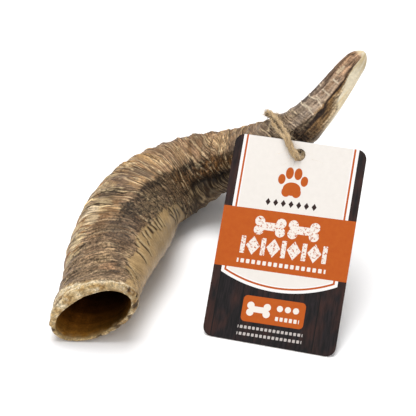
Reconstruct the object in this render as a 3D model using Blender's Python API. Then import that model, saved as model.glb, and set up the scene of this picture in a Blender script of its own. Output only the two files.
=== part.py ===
"""Sheep horn dog chew: one open, curved horn with a card tag tied to it by a jute loop.

Sizes are in millimetres and become metres as each piece is made.  +Z is up and the floor is z = 0.
The horn's mouth faces -Y, its body lies along +Y and bends to +X, and its tip rises at the right.
The tag stands on its lower edge in front of the horn and leans back against the twine.
"""

import math

import bmesh
import bpy
import numpy as np
from mathutils import Matrix, Vector

MM = 0.001

# The horn's middle line from mouth to tip and half its width:
# share of the length, then x, y, z and half width in mm.
HORN_STATIONS = (
    (0.00, -46.0, -52.0, 15.5, 20.5),
    (0.12, -42.5, -26.5, 17.0, 20.5),
    (0.25, -36.5, 0.5, 19.0, 22.6),
    (0.37, -29.5, 25.0, 17.0, 20.8),
    (0.48, -12.5, 41.5, 17.5, 19.5),
    (0.60, 12.0, 38.0, 30.0, 14.5),
    (0.72, 26.0, 20.0, 47.0, 12.5),
    (0.83, 42.5, 12.5, 66.0, 9.0),
    (0.93, 54.5, 12.0, 85.0, 6.5),
    (1.00, 63.5, 14.0, 97.0, 4.0),
)
HORN_REST = 0.17             # lifts the whole line so that the ringed belly just meets the floor
MOUTH_FLATNESS = 0.60        # height over width of the section at the mouth
TIP_FLATNESS = 0.91          # and near the tip
FLATNESS_FADE = 0.30         # share of the length over which one turns into the other
MOUTH_ROLL = math.radians(34)  # the mouth's wide way is tilted, its +X end up
THREE_SIDED = 0.06           # how far the section leaves an oval for a rounded triangle
TRIANGLE_TURN = math.radians(85)
TIP_ROUNDING = 0.972         # the end is rounded from this share of the length on

# The long edge that parts the ringed top face from the dark side face: share of length, degrees.
ARRIS_LINE = ((0.0, 76), (0.20, 66), (0.32, 49), (0.48, 44), (0.66, 14), (0.82, 24), (1.0, 26))
ARRIS_RISE = 0.035           # of the half width
ARRIS_SPREAD = math.radians(13)
# The groove below the side face, only on the middle of the horn.
GROOVE_LINE = ((0.40, 14), (0.52, 2), (0.64, -28), (0.76, -34))
GROOVE_DEPTH = 0.055
GROOVE_SPREAD = math.radians(9)
GROOVE_MIDDLE = 0.57
GROOVE_REACH = 0.12

# Growth rings, in mm.
HORN_LENGTH = 223.0
RING_PITCH = 7.4
RING_HEIGHT = 0.42
RING_TIP_FADE = 0.86         # rings fade out beyond this share of the length
RING_SWAY = (0.9, 0.5)       # how far, in radians of the ring's wave, a ring wanders as it goes round
SMOOTH_SIDE = math.radians(-15)  # the lower right face of the thick half is nearly free of rings
SMOOTH_SPREAD = 0.8          # radians to each side
SMOOTH_END = (0.42, 0.55)    # shares of the length between which that face ends
LUMP_HEIGHT = 0.35
LUMP_FADE = (0.6, 0.9)       # shares of the length over which the lumps die out
# Behind the lip the skin draws in, most at the left.
NECK_DEPTH = 0.8
NECK_AT = 0.08               # share of the length
NECK_REACH = 0.035
NECK_SIDE = math.radians(145)
NECK_SPREAD = 1.1            # radians to each side

# The hollow.
WALL = 2.8
HOLLOW_END = 0.45            # share of the length
HOLLOW_TAPER = 0.65          # power of the narrowing
HOLLOW_SHIFT = (-1.1, -1.25)  # the wall is thicker above and at the right: across, upward
LIP_LENGTH = 0.030
LIP_SWELL = 0.55
LIP_FORWARD = 0.84           # how far the rounded lip stands forward of the cut

# The card tag and how it stands.
TAG_WIDTH = 55.0
TAG_HEIGHT = 85.0
TAG_THICKNESS = 0.7
TAG_CORNER = 4.0
TAG_HOLE = 5.2
TAG_HOLE_DROP = 5.5          # hole centre below the upper edge
TAG_FOOT = (24.0, -55.5)     # where the middle of its lower edge stands
TAG_YAW = math.radians(-14.7)
TAG_LEAN = math.radians(42.4)

# The twine.
CORD = 2.9                   # two strands taken as one round cord
STRAND = 1.8
CLEARANCE = 0.6
TIE_FRONT = 0.800            # share of the horn's length where the loop crosses its front
TIE_BACK = 0.755             # where it crosses the back, and the knot sits
TIE_UNDER = 0.795            # where it leaves the underside for the tag
KNOT_ANGLE = 164             # degrees round the horn
KNOT_LENGTH = 0.012          # half its size along the horn, as a share of the length
KNOT_WIDTH = 15              # half its size round the horn, in degrees
ARCH_RISE = 2.6              # how far the slack strand stands off at the top

AROUND = 36                  # points round the horn
RINGS = 88                   # sections along its outside
HOLLOW_RINGS = 13
CARD_CORNER_STEPS = 6
CARD_HOLE_SIDES = 24


def spline(knots, values, at):
    """Smooth cubic through values at knots, read at the given places."""
    gap = np.diff(knots)
    rise = np.diff(values, axis=0) / gap[:, None]
    count = len(knots)
    system = np.zeros((count, count))
    right = np.zeros(values.shape)
    for i in range(1, count - 1):
        system[i, i - 1:i + 2] = gap[i - 1], 2 * (gap[i - 1] + gap[i]), gap[i]
        right[i] = 6 * (rise[i] - rise[i - 1])
    # The first two and the last two stretches share one cubic each.
    system[0, :3] = gap[1], -(gap[0] + gap[1]), gap[0]
    system[-1, -3:] = gap[-1], -(gap[-2] + gap[-1]), gap[-2]
    bend = np.linalg.solve(system, right)
    i = np.clip(np.searchsorted(knots, at, side="right") - 1, 0, count - 2)
    step = (at - knots[i])[:, None]
    span = gap[i][:, None]
    slope = rise[i] - span * (2 * bend[i] + bend[i + 1]) / 6
    return values[i] + step * slope + step**2 * bend[i] / 2 + step**3 * (bend[i + 1] - bend[i]) / (6 * span)


def along_line(line, share):
    """Angle in radians of a line drawn along the horn, at the given shares of its length."""
    table = np.array(line, float)
    return np.radians(np.interp(share, table[:, 0], table[:, 1]))


def ease(value, low, high):
    """0 below low, 1 above high, and smooth between."""
    part = np.clip((value - low) / (high - low), 0, 1)
    return part * part * (3 - 2 * part)


def angle_from(angle, middle):
    """Difference of two angles, brought into the range of half a turn each way."""
    return (angle - middle + math.pi) % (2 * math.pi) - math.pi


def horn_axis(share):
    """Middle points, half sizes and the side and up directions of the sections."""
    table = np.array(HORN_STATIONS)
    knots = table[:, 0]
    read = spline(knots, table[:, 1:], share)
    nudge = 1e-3
    ahead = spline(knots, table[:, 1:4], np.minimum(share + nudge, 1))
    behind = spline(knots, table[:, 1:4], np.maximum(share - nudge, 0))
    tangent = ahead - behind
    tangent /= np.linalg.norm(tangent, axis=1)[:, None]
    side = np.cross(tangent, (0, 0, 1))
    side /= np.linalg.norm(side, axis=1)[:, None]
    up = np.cross(side, tangent)
    past = np.clip((share - TIP_ROUNDING) / (1 - TIP_ROUNDING), 0, 1)
    half_width = read[:, 3] * np.sqrt(1 - past**2)
    flatness = MOUTH_FLATNESS + (TIP_FLATNESS - MOUTH_FLATNESS) * (1 - np.exp(-share / FLATNESS_FADE))
    roll = MOUTH_ROLL * (1 - share)**1.8
    wide = side * np.cos(roll)[:, None] + up * np.sin(roll)[:, None]
    high = up * np.cos(roll)[:, None] - side * np.sin(roll)[:, None]
    return read[:, :3] + (0, 0, HORN_REST), half_width, half_width * flatness, wide, high


def section_scale(share, angle):
    """Shape of the section: a rounded triangle with one raised edge and one groove."""
    three_sided = THREE_SIDED * np.sin(math.pi * np.clip(share, 0.05, 0.95))
    scale = 1 + three_sided * np.cos(3 * (angle - TRIANGLE_TURN))
    edge = angle_from(angle, along_line(ARRIS_LINE, share))
    scale = scale + ARRIS_RISE * ease(share, 0.10, 0.30) * np.exp(-(edge / ARRIS_SPREAD)**2)
    groove = angle_from(angle, along_line(GROOVE_LINE, share))
    reach = np.exp(-((share - GROOVE_MIDDLE) / GROOVE_REACH)**2)
    return scale - GROOVE_DEPTH * reach * np.exp(-(groove / GROOVE_SPREAD)**2)


def surface_relief(share, angle):
    """Growth rings and slow lumps on the outside, in mm."""
    length = share * HORN_LENGTH
    sway = RING_SWAY[0] * np.sin(angle + 0.6) + RING_SWAY[1] * np.sin(2 * angle + length / 40)
    phase = 2 * math.pi * (length / RING_PITCH + 0.25 * np.sin(length / 23)) + sway
    smooth = np.exp(-(angle_from(angle, SMOOTH_SIDE) / SMOOTH_SPREAD)**2) * (1 - ease(share, *SMOOTH_END))
    ring = RING_HEIGHT * (1 - np.abs(np.sin(phase / 2)) * 2) * (1 - 0.85 * smooth)
    ring = ring * (1 - ease(share, RING_TIP_FADE - 0.1, RING_TIP_FADE))
    lump = np.sin(3 * angle + length / 9) * np.sin(length / 13 + 1) + 0.6 * np.sin(5 * angle - length / 6)
    lump = LUMP_HEIGHT * lump * (1 - ease(share, *LUMP_FADE)) * (1 - 0.7 * smooth)
    knobs = 0.6 + 0.4 * np.sin(7 * angle) * np.sin(4 * angle + 1)
    lip = LIP_SWELL * (1 - ease(share, 0, LIP_LENGTH)) * knobs
    from_neck = ((share - NECK_AT) / NECK_REACH)**2 + (angle_from(angle, NECK_SIDE) / NECK_SPREAD)**2
    neck = NECK_DEPTH * np.exp(-from_neck)
    return (ring + lump) * ease(share, 0, 0.05) + lip - neck


def outside(share, angle, lift=0.0):
    """Points of the horn's outer skin, raised by lift mm, for equal arrays of share and angle."""
    middle, half_width, half_height, wide, high = horn_axis(share)
    scale = section_scale(share, angle)
    across = half_width * scale * np.cos(angle)
    upward = half_height * scale * np.sin(angle)
    reach = np.hypot(across, upward)
    relief = surface_relief(share, angle) * np.minimum(1, half_width / 6)
    grow = 1 + (relief + lift) / np.maximum(reach, 1e-6)
    return middle + wide * (across * grow)[:, None] + high * (upward * grow)[:, None]


def hollow(share, angle):
    """Points of the hollow's skin."""
    middle, half_width, half_height, wide, high = horn_axis(share)
    taper = (1 - share / HOLLOW_END)**HOLLOW_TAPER
    across = ((half_width - WALL) * np.cos(angle) + HOLLOW_SHIFT[0]) * taper
    upward = ((half_height - WALL) * np.sin(angle) + HOLLOW_SHIFT[1]) * taper
    return middle + wide * across[:, None] + high * upward[:, None]


def ring_grid(shape, shares):
    """Rings of points from a skin function, one ring for each share of the length."""
    angles = np.arange(AROUND) * 2 * math.pi / AROUND
    share, angle = np.meshgrid(shares, angles, indexing="ij")
    return shape(share.ravel(), angle.ravel()).reshape(len(shares), AROUND, 3)


def make_material(name, colour, roughness, metallic=0.0):
    material = bpy.data.materials.new(name)
    material.use_nodes = True
    shader = material.node_tree.nodes["Principled BSDF"]
    shader.inputs["Base Color"].default_value = (*colour, 1)
    shader.inputs["Roughness"].default_value = roughness
    shader.inputs["Metallic"].default_value = metallic
    material.diffuse_color = (*colour, 1)
    return material


def add_object(name, data, collection, material=None):
    thing = bpy.data.objects.new(name, data)
    collection.objects.link(thing)
    if material:
        data.materials.clear()
        data.materials.append(material)
    return thing


def make_horn(collection, material):
    """The horn as one closed loft: outside from mouth to tip, back over the lip and down the hollow."""
    rounding = TIP_ROUNDING + (1 - TIP_ROUNDING) * np.array((0.45, 0.75, 0.94))
    shares = np.concatenate((np.linspace(0, TIP_ROUNDING, RINGS), rounding))
    outer = ring_grid(outside, shares)
    hollow_shares = HOLLOW_END * np.linspace(0, 1, HOLLOW_RINGS + 1)[:-1]**1.15
    inner = ring_grid(hollow, hollow_shares)
    # The lip is a rounded ring halfway through the wall, standing a little forward of the cut.
    forward = outer[0].mean(axis=0) - outer[1].mean(axis=0)
    forward /= np.linalg.norm(forward)
    lip = (outer[0] + inner[0]) / 2 + forward * LIP_FORWARD
    rings = np.concatenate((inner[::-1], lip[None], outer))
    tip = horn_axis(np.array([1.0]))[0]
    bottom = horn_axis(np.array([HOLLOW_END]))[0]
    points = np.concatenate((rings.reshape(-1, 3), bottom, tip)) * MM
    count = len(rings)
    faces = []
    for row in range(count - 1):
        for i in range(AROUND):
            j = (i + 1) % AROUND
            here = row * AROUND
            after = here + AROUND
            faces.append((here + i, here + j, after + j, after + i))
    bottom_index = count * AROUND
    last = (count - 1) * AROUND
    for i in range(AROUND):
        j = (i + 1) % AROUND
        faces.append((bottom_index, j, i))
        faces.append((bottom_index + 1, last + i, last + j))
    mesh = bpy.data.meshes.new("horn")
    mesh.from_pydata(points.tolist(), [], faces)
    shell = bmesh.new()
    shell.from_mesh(mesh)
    bmesh.ops.recalc_face_normals(shell, faces=shell.faces)
    bmesh.ops.triangulate(shell, faces=shell.faces)
    shell.to_mesh(mesh)
    shell.free()
    return add_object("horn", mesh, collection, material)


def tag_place():
    """World matrix of the tag: x along its lower edge, y up the card, z out of its face."""
    along = Vector((math.cos(TAG_YAW), math.sin(TAG_YAW), 0))
    back = Vector((-along.y, along.x, 0))
    upward = back * math.sin(TAG_LEAN) + Vector((0, 0, 1)) * math.cos(TAG_LEAN)
    face = along.cross(upward)
    turn = Matrix((along, upward, face)).transposed().to_4x4()
    # The lowest corner of the leaning card's thickness touches the floor.
    rise = TAG_THICKNESS / 2 * abs(face.z)
    return Matrix.Translation(Vector((*TAG_FOOT, rise)) * MM) @ turn


def make_tag(collection, material):
    """Rounded card with its hole, drawn flat as a filled outline and then stood up."""
    outline = bpy.data.curves.new("tag", "CURVE")
    outline.dimensions = "2D"
    outline.fill_mode = "BOTH"
    outline.extrude = TAG_THICKNESS / 2 * MM
    half = TAG_WIDTH / 2 - TAG_CORNER
    top = TAG_HEIGHT - TAG_CORNER
    centres = ((half, TAG_CORNER), (half, top), (-half, top), (-half, TAG_CORNER))
    border = []
    for quarter, (x, y) in enumerate(centres):
        for step in range(CARD_CORNER_STEPS + 1):
            turn = (quarter - 1 + step / CARD_CORNER_STEPS) * math.pi / 2
            border.append((x + TAG_CORNER * math.cos(turn), y + TAG_CORNER * math.sin(turn)))
    hole = []
    for step in range(CARD_HOLE_SIDES):
        turn = 2 * math.pi * step / CARD_HOLE_SIDES
        across = TAG_HOLE / 2 * math.cos(turn)
        upward = TAG_HEIGHT - TAG_HOLE_DROP + TAG_HOLE / 2 * math.sin(turn)
        hole.append((across, upward))
    for loop in (border, hole):
        line = outline.splines.new("POLY")
        line.points.add(len(loop) - 1)
        line.use_cyclic_u = True
        for point, (x, y) in zip(line.points, loop):
            point.co = (x * MM, y * MM, 0, 1)
    tag = add_object("tag", outline, collection, material)
    tag.matrix_world = tag_place()
    return tag


def on_horn(share, degrees, lift):
    """World point in mm that stands lift mm off the horn's skin."""
    return Vector(outside(np.array([share]), np.array([math.radians(degrees)]), lift)[0])


def on_tag(x, y, out):
    """World point in mm from card coordinates: along, up, and out of the face."""
    return tag_place() @ (Vector((x, y, out)) * MM) / MM


def cord_mesh(name, points, thickness, closed, rings):
    """Round cord along smooth points, as a closed mesh."""
    curve = bpy.data.curves.new(name, "CURVE")
    curve.dimensions = "3D"
    curve.bevel_depth = thickness / 2 * MM
    curve.bevel_resolution = 2
    curve.resolution_u = rings
    curve.use_fill_caps = True
    line = curve.splines.new("BEZIER")
    line.bezier_points.add(len(points) - 1)
    line.use_cyclic_u = closed
    for knot, place in zip(line.bezier_points, points):
        knot.co = place * MM
        knot.handle_left_type = "AUTO"
        knot.handle_right_type = "AUTO"
    holder = bpy.data.objects.new(name, curve)
    bpy.context.scene.collection.objects.link(holder)
    bpy.context.view_layer.update()
    mesh = bpy.data.meshes.new_from_object(holder)
    bpy.data.objects.remove(holder)
    body = bmesh.new()
    body.from_mesh(mesh)
    bmesh.ops.remove_doubles(body, verts=body.verts, dist=0.00001)
    bmesh.ops.recalc_face_normals(body, faces=body.faces)
    body.to_mesh(mesh)
    body.free()
    return mesh


def tie_loop(lift):
    """Route of the main loop: out of the tag's hole, over its upper edge, round the horn and back."""
    hole = TAG_HEIGHT - TAG_HOLE_DROP
    off_card = TAG_THICKNESS / 2 + lift + 0.4
    route = [
        on_tag(-0.2, hole, -1.0),
        on_tag(-0.4, hole + 0.1, 0.7),
        on_tag(-2.2, hole + 1.6, off_card),
        on_tag(-5.4, hole + 4.2, off_card),
        on_tag(-7.6, hole + 7.6, 1.3),
    ]
    for degrees in (48, 72, 96, 120, 146, 174):
        share = TIE_FRONT + (TIE_BACK - TIE_FRONT) * ease(degrees, 30, 140)
        route.append(on_horn(share, degrees, lift))
    for degrees in (202, 230, 258, 284):
        share = TIE_BACK + (TIE_UNDER - TIE_BACK) * ease(degrees, 190, 290)
        route.append(on_horn(share, degrees, lift))
    route.append(on_tag(0.4, hole - 0.8, -6.0))
    return route


def make_twine(collection, cutters, material):
    """The tie: the main loop, a slack strand that arches over the top, a knot behind and two tails."""
    lift = CORD / 2 + CLEARANCE
    low = STRAND / 2 + CLEARANCE + 0.1
    twine = add_object("twine", cord_mesh("twine", tie_loop(lift), CORD, True, 4), collection, material)
    arch = [
        on_horn(TIE_FRONT - 0.003, 50, lift + 0.2),
        on_horn(0.788, 68, lift + ARCH_RISE / 2),
        on_horn(0.775, 88, lift + ARCH_RISE),
        on_horn(0.757, 102, lift + ARCH_RISE * 0.8),
        on_horn(0.744, 118, low),
        on_horn(0.748, 140, low),
        on_horn(TIE_BACK, 158, lift),
    ]
    knot = []
    for turn in np.arange(6) * math.pi / 3:
        share = TIE_BACK + KNOT_LENGTH * math.cos(turn)
        degrees = KNOT_ANGLE + KNOT_WIDTH * math.sin(turn)
        knot.append(on_horn(share, degrees, lift + 0.8 + 0.7 * math.sin(2 * turn)))
    tail_up = [
        on_horn(TIE_BACK, 165, lift + 0.4),
        on_horn(0.770, 176, lift + 1.8),
        on_horn(0.788, 184, lift + 1.4),
    ]
    tail_down = [
        on_horn(TIE_BACK, 166, lift + 0.4),
        on_horn(0.740, 178, lift + 2.0),
        on_horn(0.722, 190, lift + 1.2),
    ]
    routes = {"arch": arch, "knot": knot, "tail_up": tail_up, "tail_down": tail_down}
    for name, route in routes.items():
        cutter = add_object("twine_" + name, cord_mesh(name, route, STRAND, name == "knot", 3), cutters)
        cutter.hide_render = True
        cutter.display_type = "WIRE"
        joint = twine.modifiers.new("join " + name, "BOOLEAN")
        joint.operation = "UNION"
        joint.solver = "EXACT"
        joint.object = cutter
    return twine


def main():
    for thing in list(bpy.data.objects):
        bpy.data.objects.remove(thing, do_unlink=True)
    parts = bpy.data.collections.new("horn chew")
    cutters = bpy.data.collections.new("cutters")
    bpy.context.scene.collection.children.link(parts)
    bpy.context.scene.collection.children.link(cutters)
    horn = make_horn(parts, make_material("horn", (0.19, 0.115, 0.058), 0.62))
    tag = make_tag(parts, make_material("printed card", (0.62, 0.17, 0.025), 0.55))
    twine = make_twine(parts, cutters, make_material("jute twine", (0.42, 0.27, 0.12), 0.85))
    bpy.context.view_layer.update()
    for piece in (tag, twine):
        place = piece.matrix_world.copy()
        piece.parent = horn
        piece.matrix_world = place


main()
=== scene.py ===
"""The looks of a sheep horn sold as a dog chew: the ringed horn, its jute tie and its printed card.

Lengths are in millimetres until a mesh is made, in the frame of the CAD model: +Z up, floor at z = 0.
"""

from functools import partial, reduce
from math import atan2, cos, pi, radians, sin

import bpy
import numpy as np
from mathutils import Matrix, Vector


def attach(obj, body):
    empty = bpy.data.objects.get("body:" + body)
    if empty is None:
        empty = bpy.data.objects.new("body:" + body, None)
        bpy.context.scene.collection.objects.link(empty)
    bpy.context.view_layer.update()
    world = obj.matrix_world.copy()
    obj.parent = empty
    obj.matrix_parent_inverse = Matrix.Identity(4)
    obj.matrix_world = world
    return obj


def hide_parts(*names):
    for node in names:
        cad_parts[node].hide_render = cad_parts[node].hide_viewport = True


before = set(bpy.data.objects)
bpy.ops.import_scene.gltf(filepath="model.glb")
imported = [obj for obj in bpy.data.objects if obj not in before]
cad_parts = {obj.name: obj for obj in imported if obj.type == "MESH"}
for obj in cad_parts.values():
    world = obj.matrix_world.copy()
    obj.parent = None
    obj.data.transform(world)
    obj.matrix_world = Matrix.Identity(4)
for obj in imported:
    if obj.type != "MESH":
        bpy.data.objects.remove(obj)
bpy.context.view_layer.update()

MM = 0.001
TAU = 2 * pi

# The horn, as in the part: share of its length, middle line x, y, z and half width.
HORN_STATIONS = (
    (0, -46, -52, 15.5, 20.5),
    (0.12, -42.5, -26.5, 17, 20.5),
    (0.25, -36.5, 0.5, 19, 22.6),
    (0.37, -29.5, 25, 17, 20.8),
    (0.48, -12.5, 41.5, 17.5, 19.5),
    (0.6, 12, 38, 30, 14.5),
    (0.72, 26, 20, 47, 12.5),
    (0.83, 42.5, 12.5, 66, 9),
    (0.93, 54.5, 12, 85, 6.5),
    (1, 63.5, 14, 97, 4),
)
HORN_LENGTH = 223.0
HORN_REST = 0.17
MOUTH_FLATNESS = 0.60
TIP_FLATNESS = 0.91
FLATNESS_FADE = 0.30
MOUTH_ROLL = radians(34)
ROLL_FADE = 1.8
THREE_SIDED = 0.06
TRIANGLE_TURN = radians(85)
TIP_ROUNDING = 0.972
ARRIS_LINE = ((0, 76), (0.2, 66), (0.32, 49), (0.48, 44), (0.66, 14), (0.82, 24), (1, 26))
ARRIS_RISE = 0.035
ARRIS_SPREAD = radians(13)
GROOVE_LINE = ((0.4, 14), (0.52, 2), (0.64, -28), (0.76, -34))
GROOVE_DEPTH = 0.055
GROOVE_SPREAD = radians(9)
GROOVE_MIDDLE = 0.57
GROOVE_REACH = 0.12
RING_PITCH = 7.4
RING_HEIGHT = 0.42
RING_TIP_FADE = 0.86
RING_SWAY = (0.9, 0.5)
SMOOTH_SIDE = radians(-15)
SMOOTH_SPREAD = 0.8
SMOOTH_END = (0.42, 0.55)
LUMP_HEIGHT = 0.35
LUMP_FADE = (0.6, 0.9)
NECK_DEPTH = 0.8
NECK_AT = 0.08
NECK_REACH = 0.035
NECK_SIDE = radians(145)
NECK_SPREAD = 1.1
WALL = 2.8
HOLLOW_END = 0.45
HOLLOW_TAPER = 0.65
HOLLOW_SHIFT = (-1.1, -1.25)

NOISE_COLUMNS = 512  # after so many cells along, the noise repeats
NOISE_HEIGHT = 1.6  # brings the noise up to about one
LINE_WAVER = 0.35  # mm by which drawn lines waver

# The horn's mesh: rows along it and points round it.
OUTER_ROWS = 690
ROUNDED_ROWS = (0.2, 0.4, 0.58, 0.74, 0.86, 0.95, 0.99)  # parts of the way over the rounded tip
LIP_ROWS = 9
HOLLOW_ROWS = 46
AROUND = 132
FLOOR_GAP = 0.01  # mm above the floor at which the skin is worn flat
TINT_DEPTH = 0.80  # the horn's tints are written as they look in the light, so they are deepened
RIDGE_PITCH = 3.3  # mm between the rolling ridges, whose crests get a painted highlight and whose steps painted shade
# The fine relief stands about the part's own skin, not on it: mm it goes in by share, but not on the belly.
RELIEF_SINK = (
    (0.02, 0), (0.07, 0.42), (0.15, 0.1), (0.2, 0.1), (0.25, 0.42), (0.4, 0.42), (0.46, 0.05), (0.55, 0.15),
    (0.66, 0.4), (0.72, 0.2), (0.84, 0.2), (0.9, 0.3), (1, 0.3),
)
LINE_PITCH = 1.3  # mm between fine growth lines
SKIN_RADIUS = 14.0  # mm, turns the angle round the horn into a length for the fine noise
LIP_ARC = 4.2  # mm over the lip's rounded edge, from skin to hollow
LIP_FORWARD = 0.84  # mm the lip stands forward of the cut
# Over these mm from the skin's end the lip gives way to bark, and by angle so many mm later.
LIP_REACH = (0.2, 2.4)
LIP_SHIFT = (
    (0, 0.3), (50, 0.2), (75, 1.5), (95, 4.5), (118, 6.5), (150, 4.5), (200, 3.5), (260, 3), (320, 1.5),
    (360, 0.3),
)

# Where one finish of the horn meets the next: share of the length, degrees round it.
CREAM_LINE = (
    (0, 17), (0.044, 18), (0.061, 26), (0.085, 28), (0.105, 24), (0.124, 25), (0.139, 32), (0.166, 30),
    (0.19, 26), (0.215, 22), (0.246, 16), (0.281, 7), (0.34, -3), (0.385, -21), (0.41, -60),
)
IVORY_LINE = (
    (0.74, -80), (0.8, -70), (0.829, -56), (0.853, -37), (0.885, -31), (0.9, -13), (0.917, -1), (0.932, 9),
    (0.95, 20), (0.966, 26), (0.978, 42), (0.989, 75), (1, 75),
)
# Where the bark of the tip ends; between it and the ivory lies a streaked band.
TIP_EDGE = (
    (0.8, 9), (0.838, 11), (0.86, 15), (0.884, 21), (0.906, 26), (0.922, 24), (0.938, 27), (0.955, 31),
    (0.97, 35), (0.981, 45), (0.989, 75), (1, 75),
)
# Above this line the bark of the outer flank is worn pale.
FLANK_LINE = (
    (0.06, 170), (0.09, 125), (0.12, 104), (0.15, 97), (0.165, 88), (0.18, 80), (0.2, 74), (0.215, 73),
    (0.24, 86), (0.27, 92), (0.3, 98), (0.36, 92), (0.42, 100), (0.5, 110),
)
# How far in mm a growth ring has run towards the tip at each of these angles, against where it crosses the
# long edge, at thirteen shares of the length; read off the rings that the picture shows.
COURSE_ANGLES = (-180, -120, -47, -20, 5, 30, 50, 70, 92, 115, 150, 180)
COURSES = (
    (0, (0, 0, 0, 0, 0, 0, 0, 0, 0, 0, 0, 0)),
    (0.1, (0, 2, 4, 2, 0, 0, 0, -0.5, -2, -2, -1, 0)),
    (0.16, (0, -2, -3, -5, -4, -1.8, 0, 0, 0, 1, 1.5, 0)),
    (0.21, (1, -3, -6, -9, -6.5, -2, 0, 0, 0, 2.3, 3, 1)),
    (0.25, (3, 0, -2, -7, -5, -1, 0, 0, 0.3, 4, 5, 3)),
    (0.3, (6, 4, 4, -1, -2, -2, -2, 1, 5, 9, 10, 6)),
    (0.35, (7, 8, 11, 5, 0, -1, -2, 1, 5, 9, 11, 7)),
    (0.43, (6, 9, 16, 8, 2, 0, -0.5, 0.5, 2, 3, 4, 6)),
    (0.5, (2, 7, 14, 10, 8, 5, 2, -2, -5, -8, -5, 2)),
    (0.6, (0, 7, 14, 14, 12, 7, 2.5, -2, -6, -9, -9, 0)),
    (0.7, (0, 4, 9, 9, 8, 5, 2, -1.5, -5, -7, -7, 0)),
    (0.85, (0, 1.5, 3, 3, 2.5, 1.5, 0.5, -1, -2.5, -3, -2, 0)),
    (1, (0, 0, 0, 0, 0, 0, 0, 0, 0, 0, 0, 0)),
)
# Tints of the bark by share: above, below the long edge and on the underside, and of the hollow, amber at the
# lip and darkening deeper in as painted shade.
TOP_TINTS = (
    (0.0, "#8f775c"), (0.12, "#8b7258"), (0.20, "#97795a"), (0.30, "#9c7b58"), (0.45, "#967658"),
    (0.55, "#9a7959"), (0.66, "#9d7e5f"), (0.74, "#8a725c"), (0.82, "#9c8975"), (0.90, "#a8917c"),
    (0.95, "#bb9778"), (1.0, "#b88e68"),
)
SIDE_TINTS = (
    (0.0, "#8b7050"), (0.15, "#816850"), (0.25, "#64513c"), (0.36, "#5e4a35"), (0.46, "#584029"),
    (0.60, "#553c24"), (0.72, "#4c3926"), (0.80, "#3f3025"), (0.87, "#503c2b"), (0.95, "#8a6a49"),
    (1.0, "#a08060"),
)
UNDER_TINTS = (
    (0.0, "#8b7050"), (0.38, "#6d5a45"), (0.46, "#4b3a28"), (0.60, "#4d3823"), (0.75, "#4a3829"),
    (0.85, "#6b543e"), (1.0, "#a08060"),
)
HOLLOW_SHADED_TINTS = ((0, "#a8752f"), (0.03, "#8f581c"), (0.06, "#5c330f"), (0.1, "#3a1d09"), (0.45, "#2a1206"))
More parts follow.
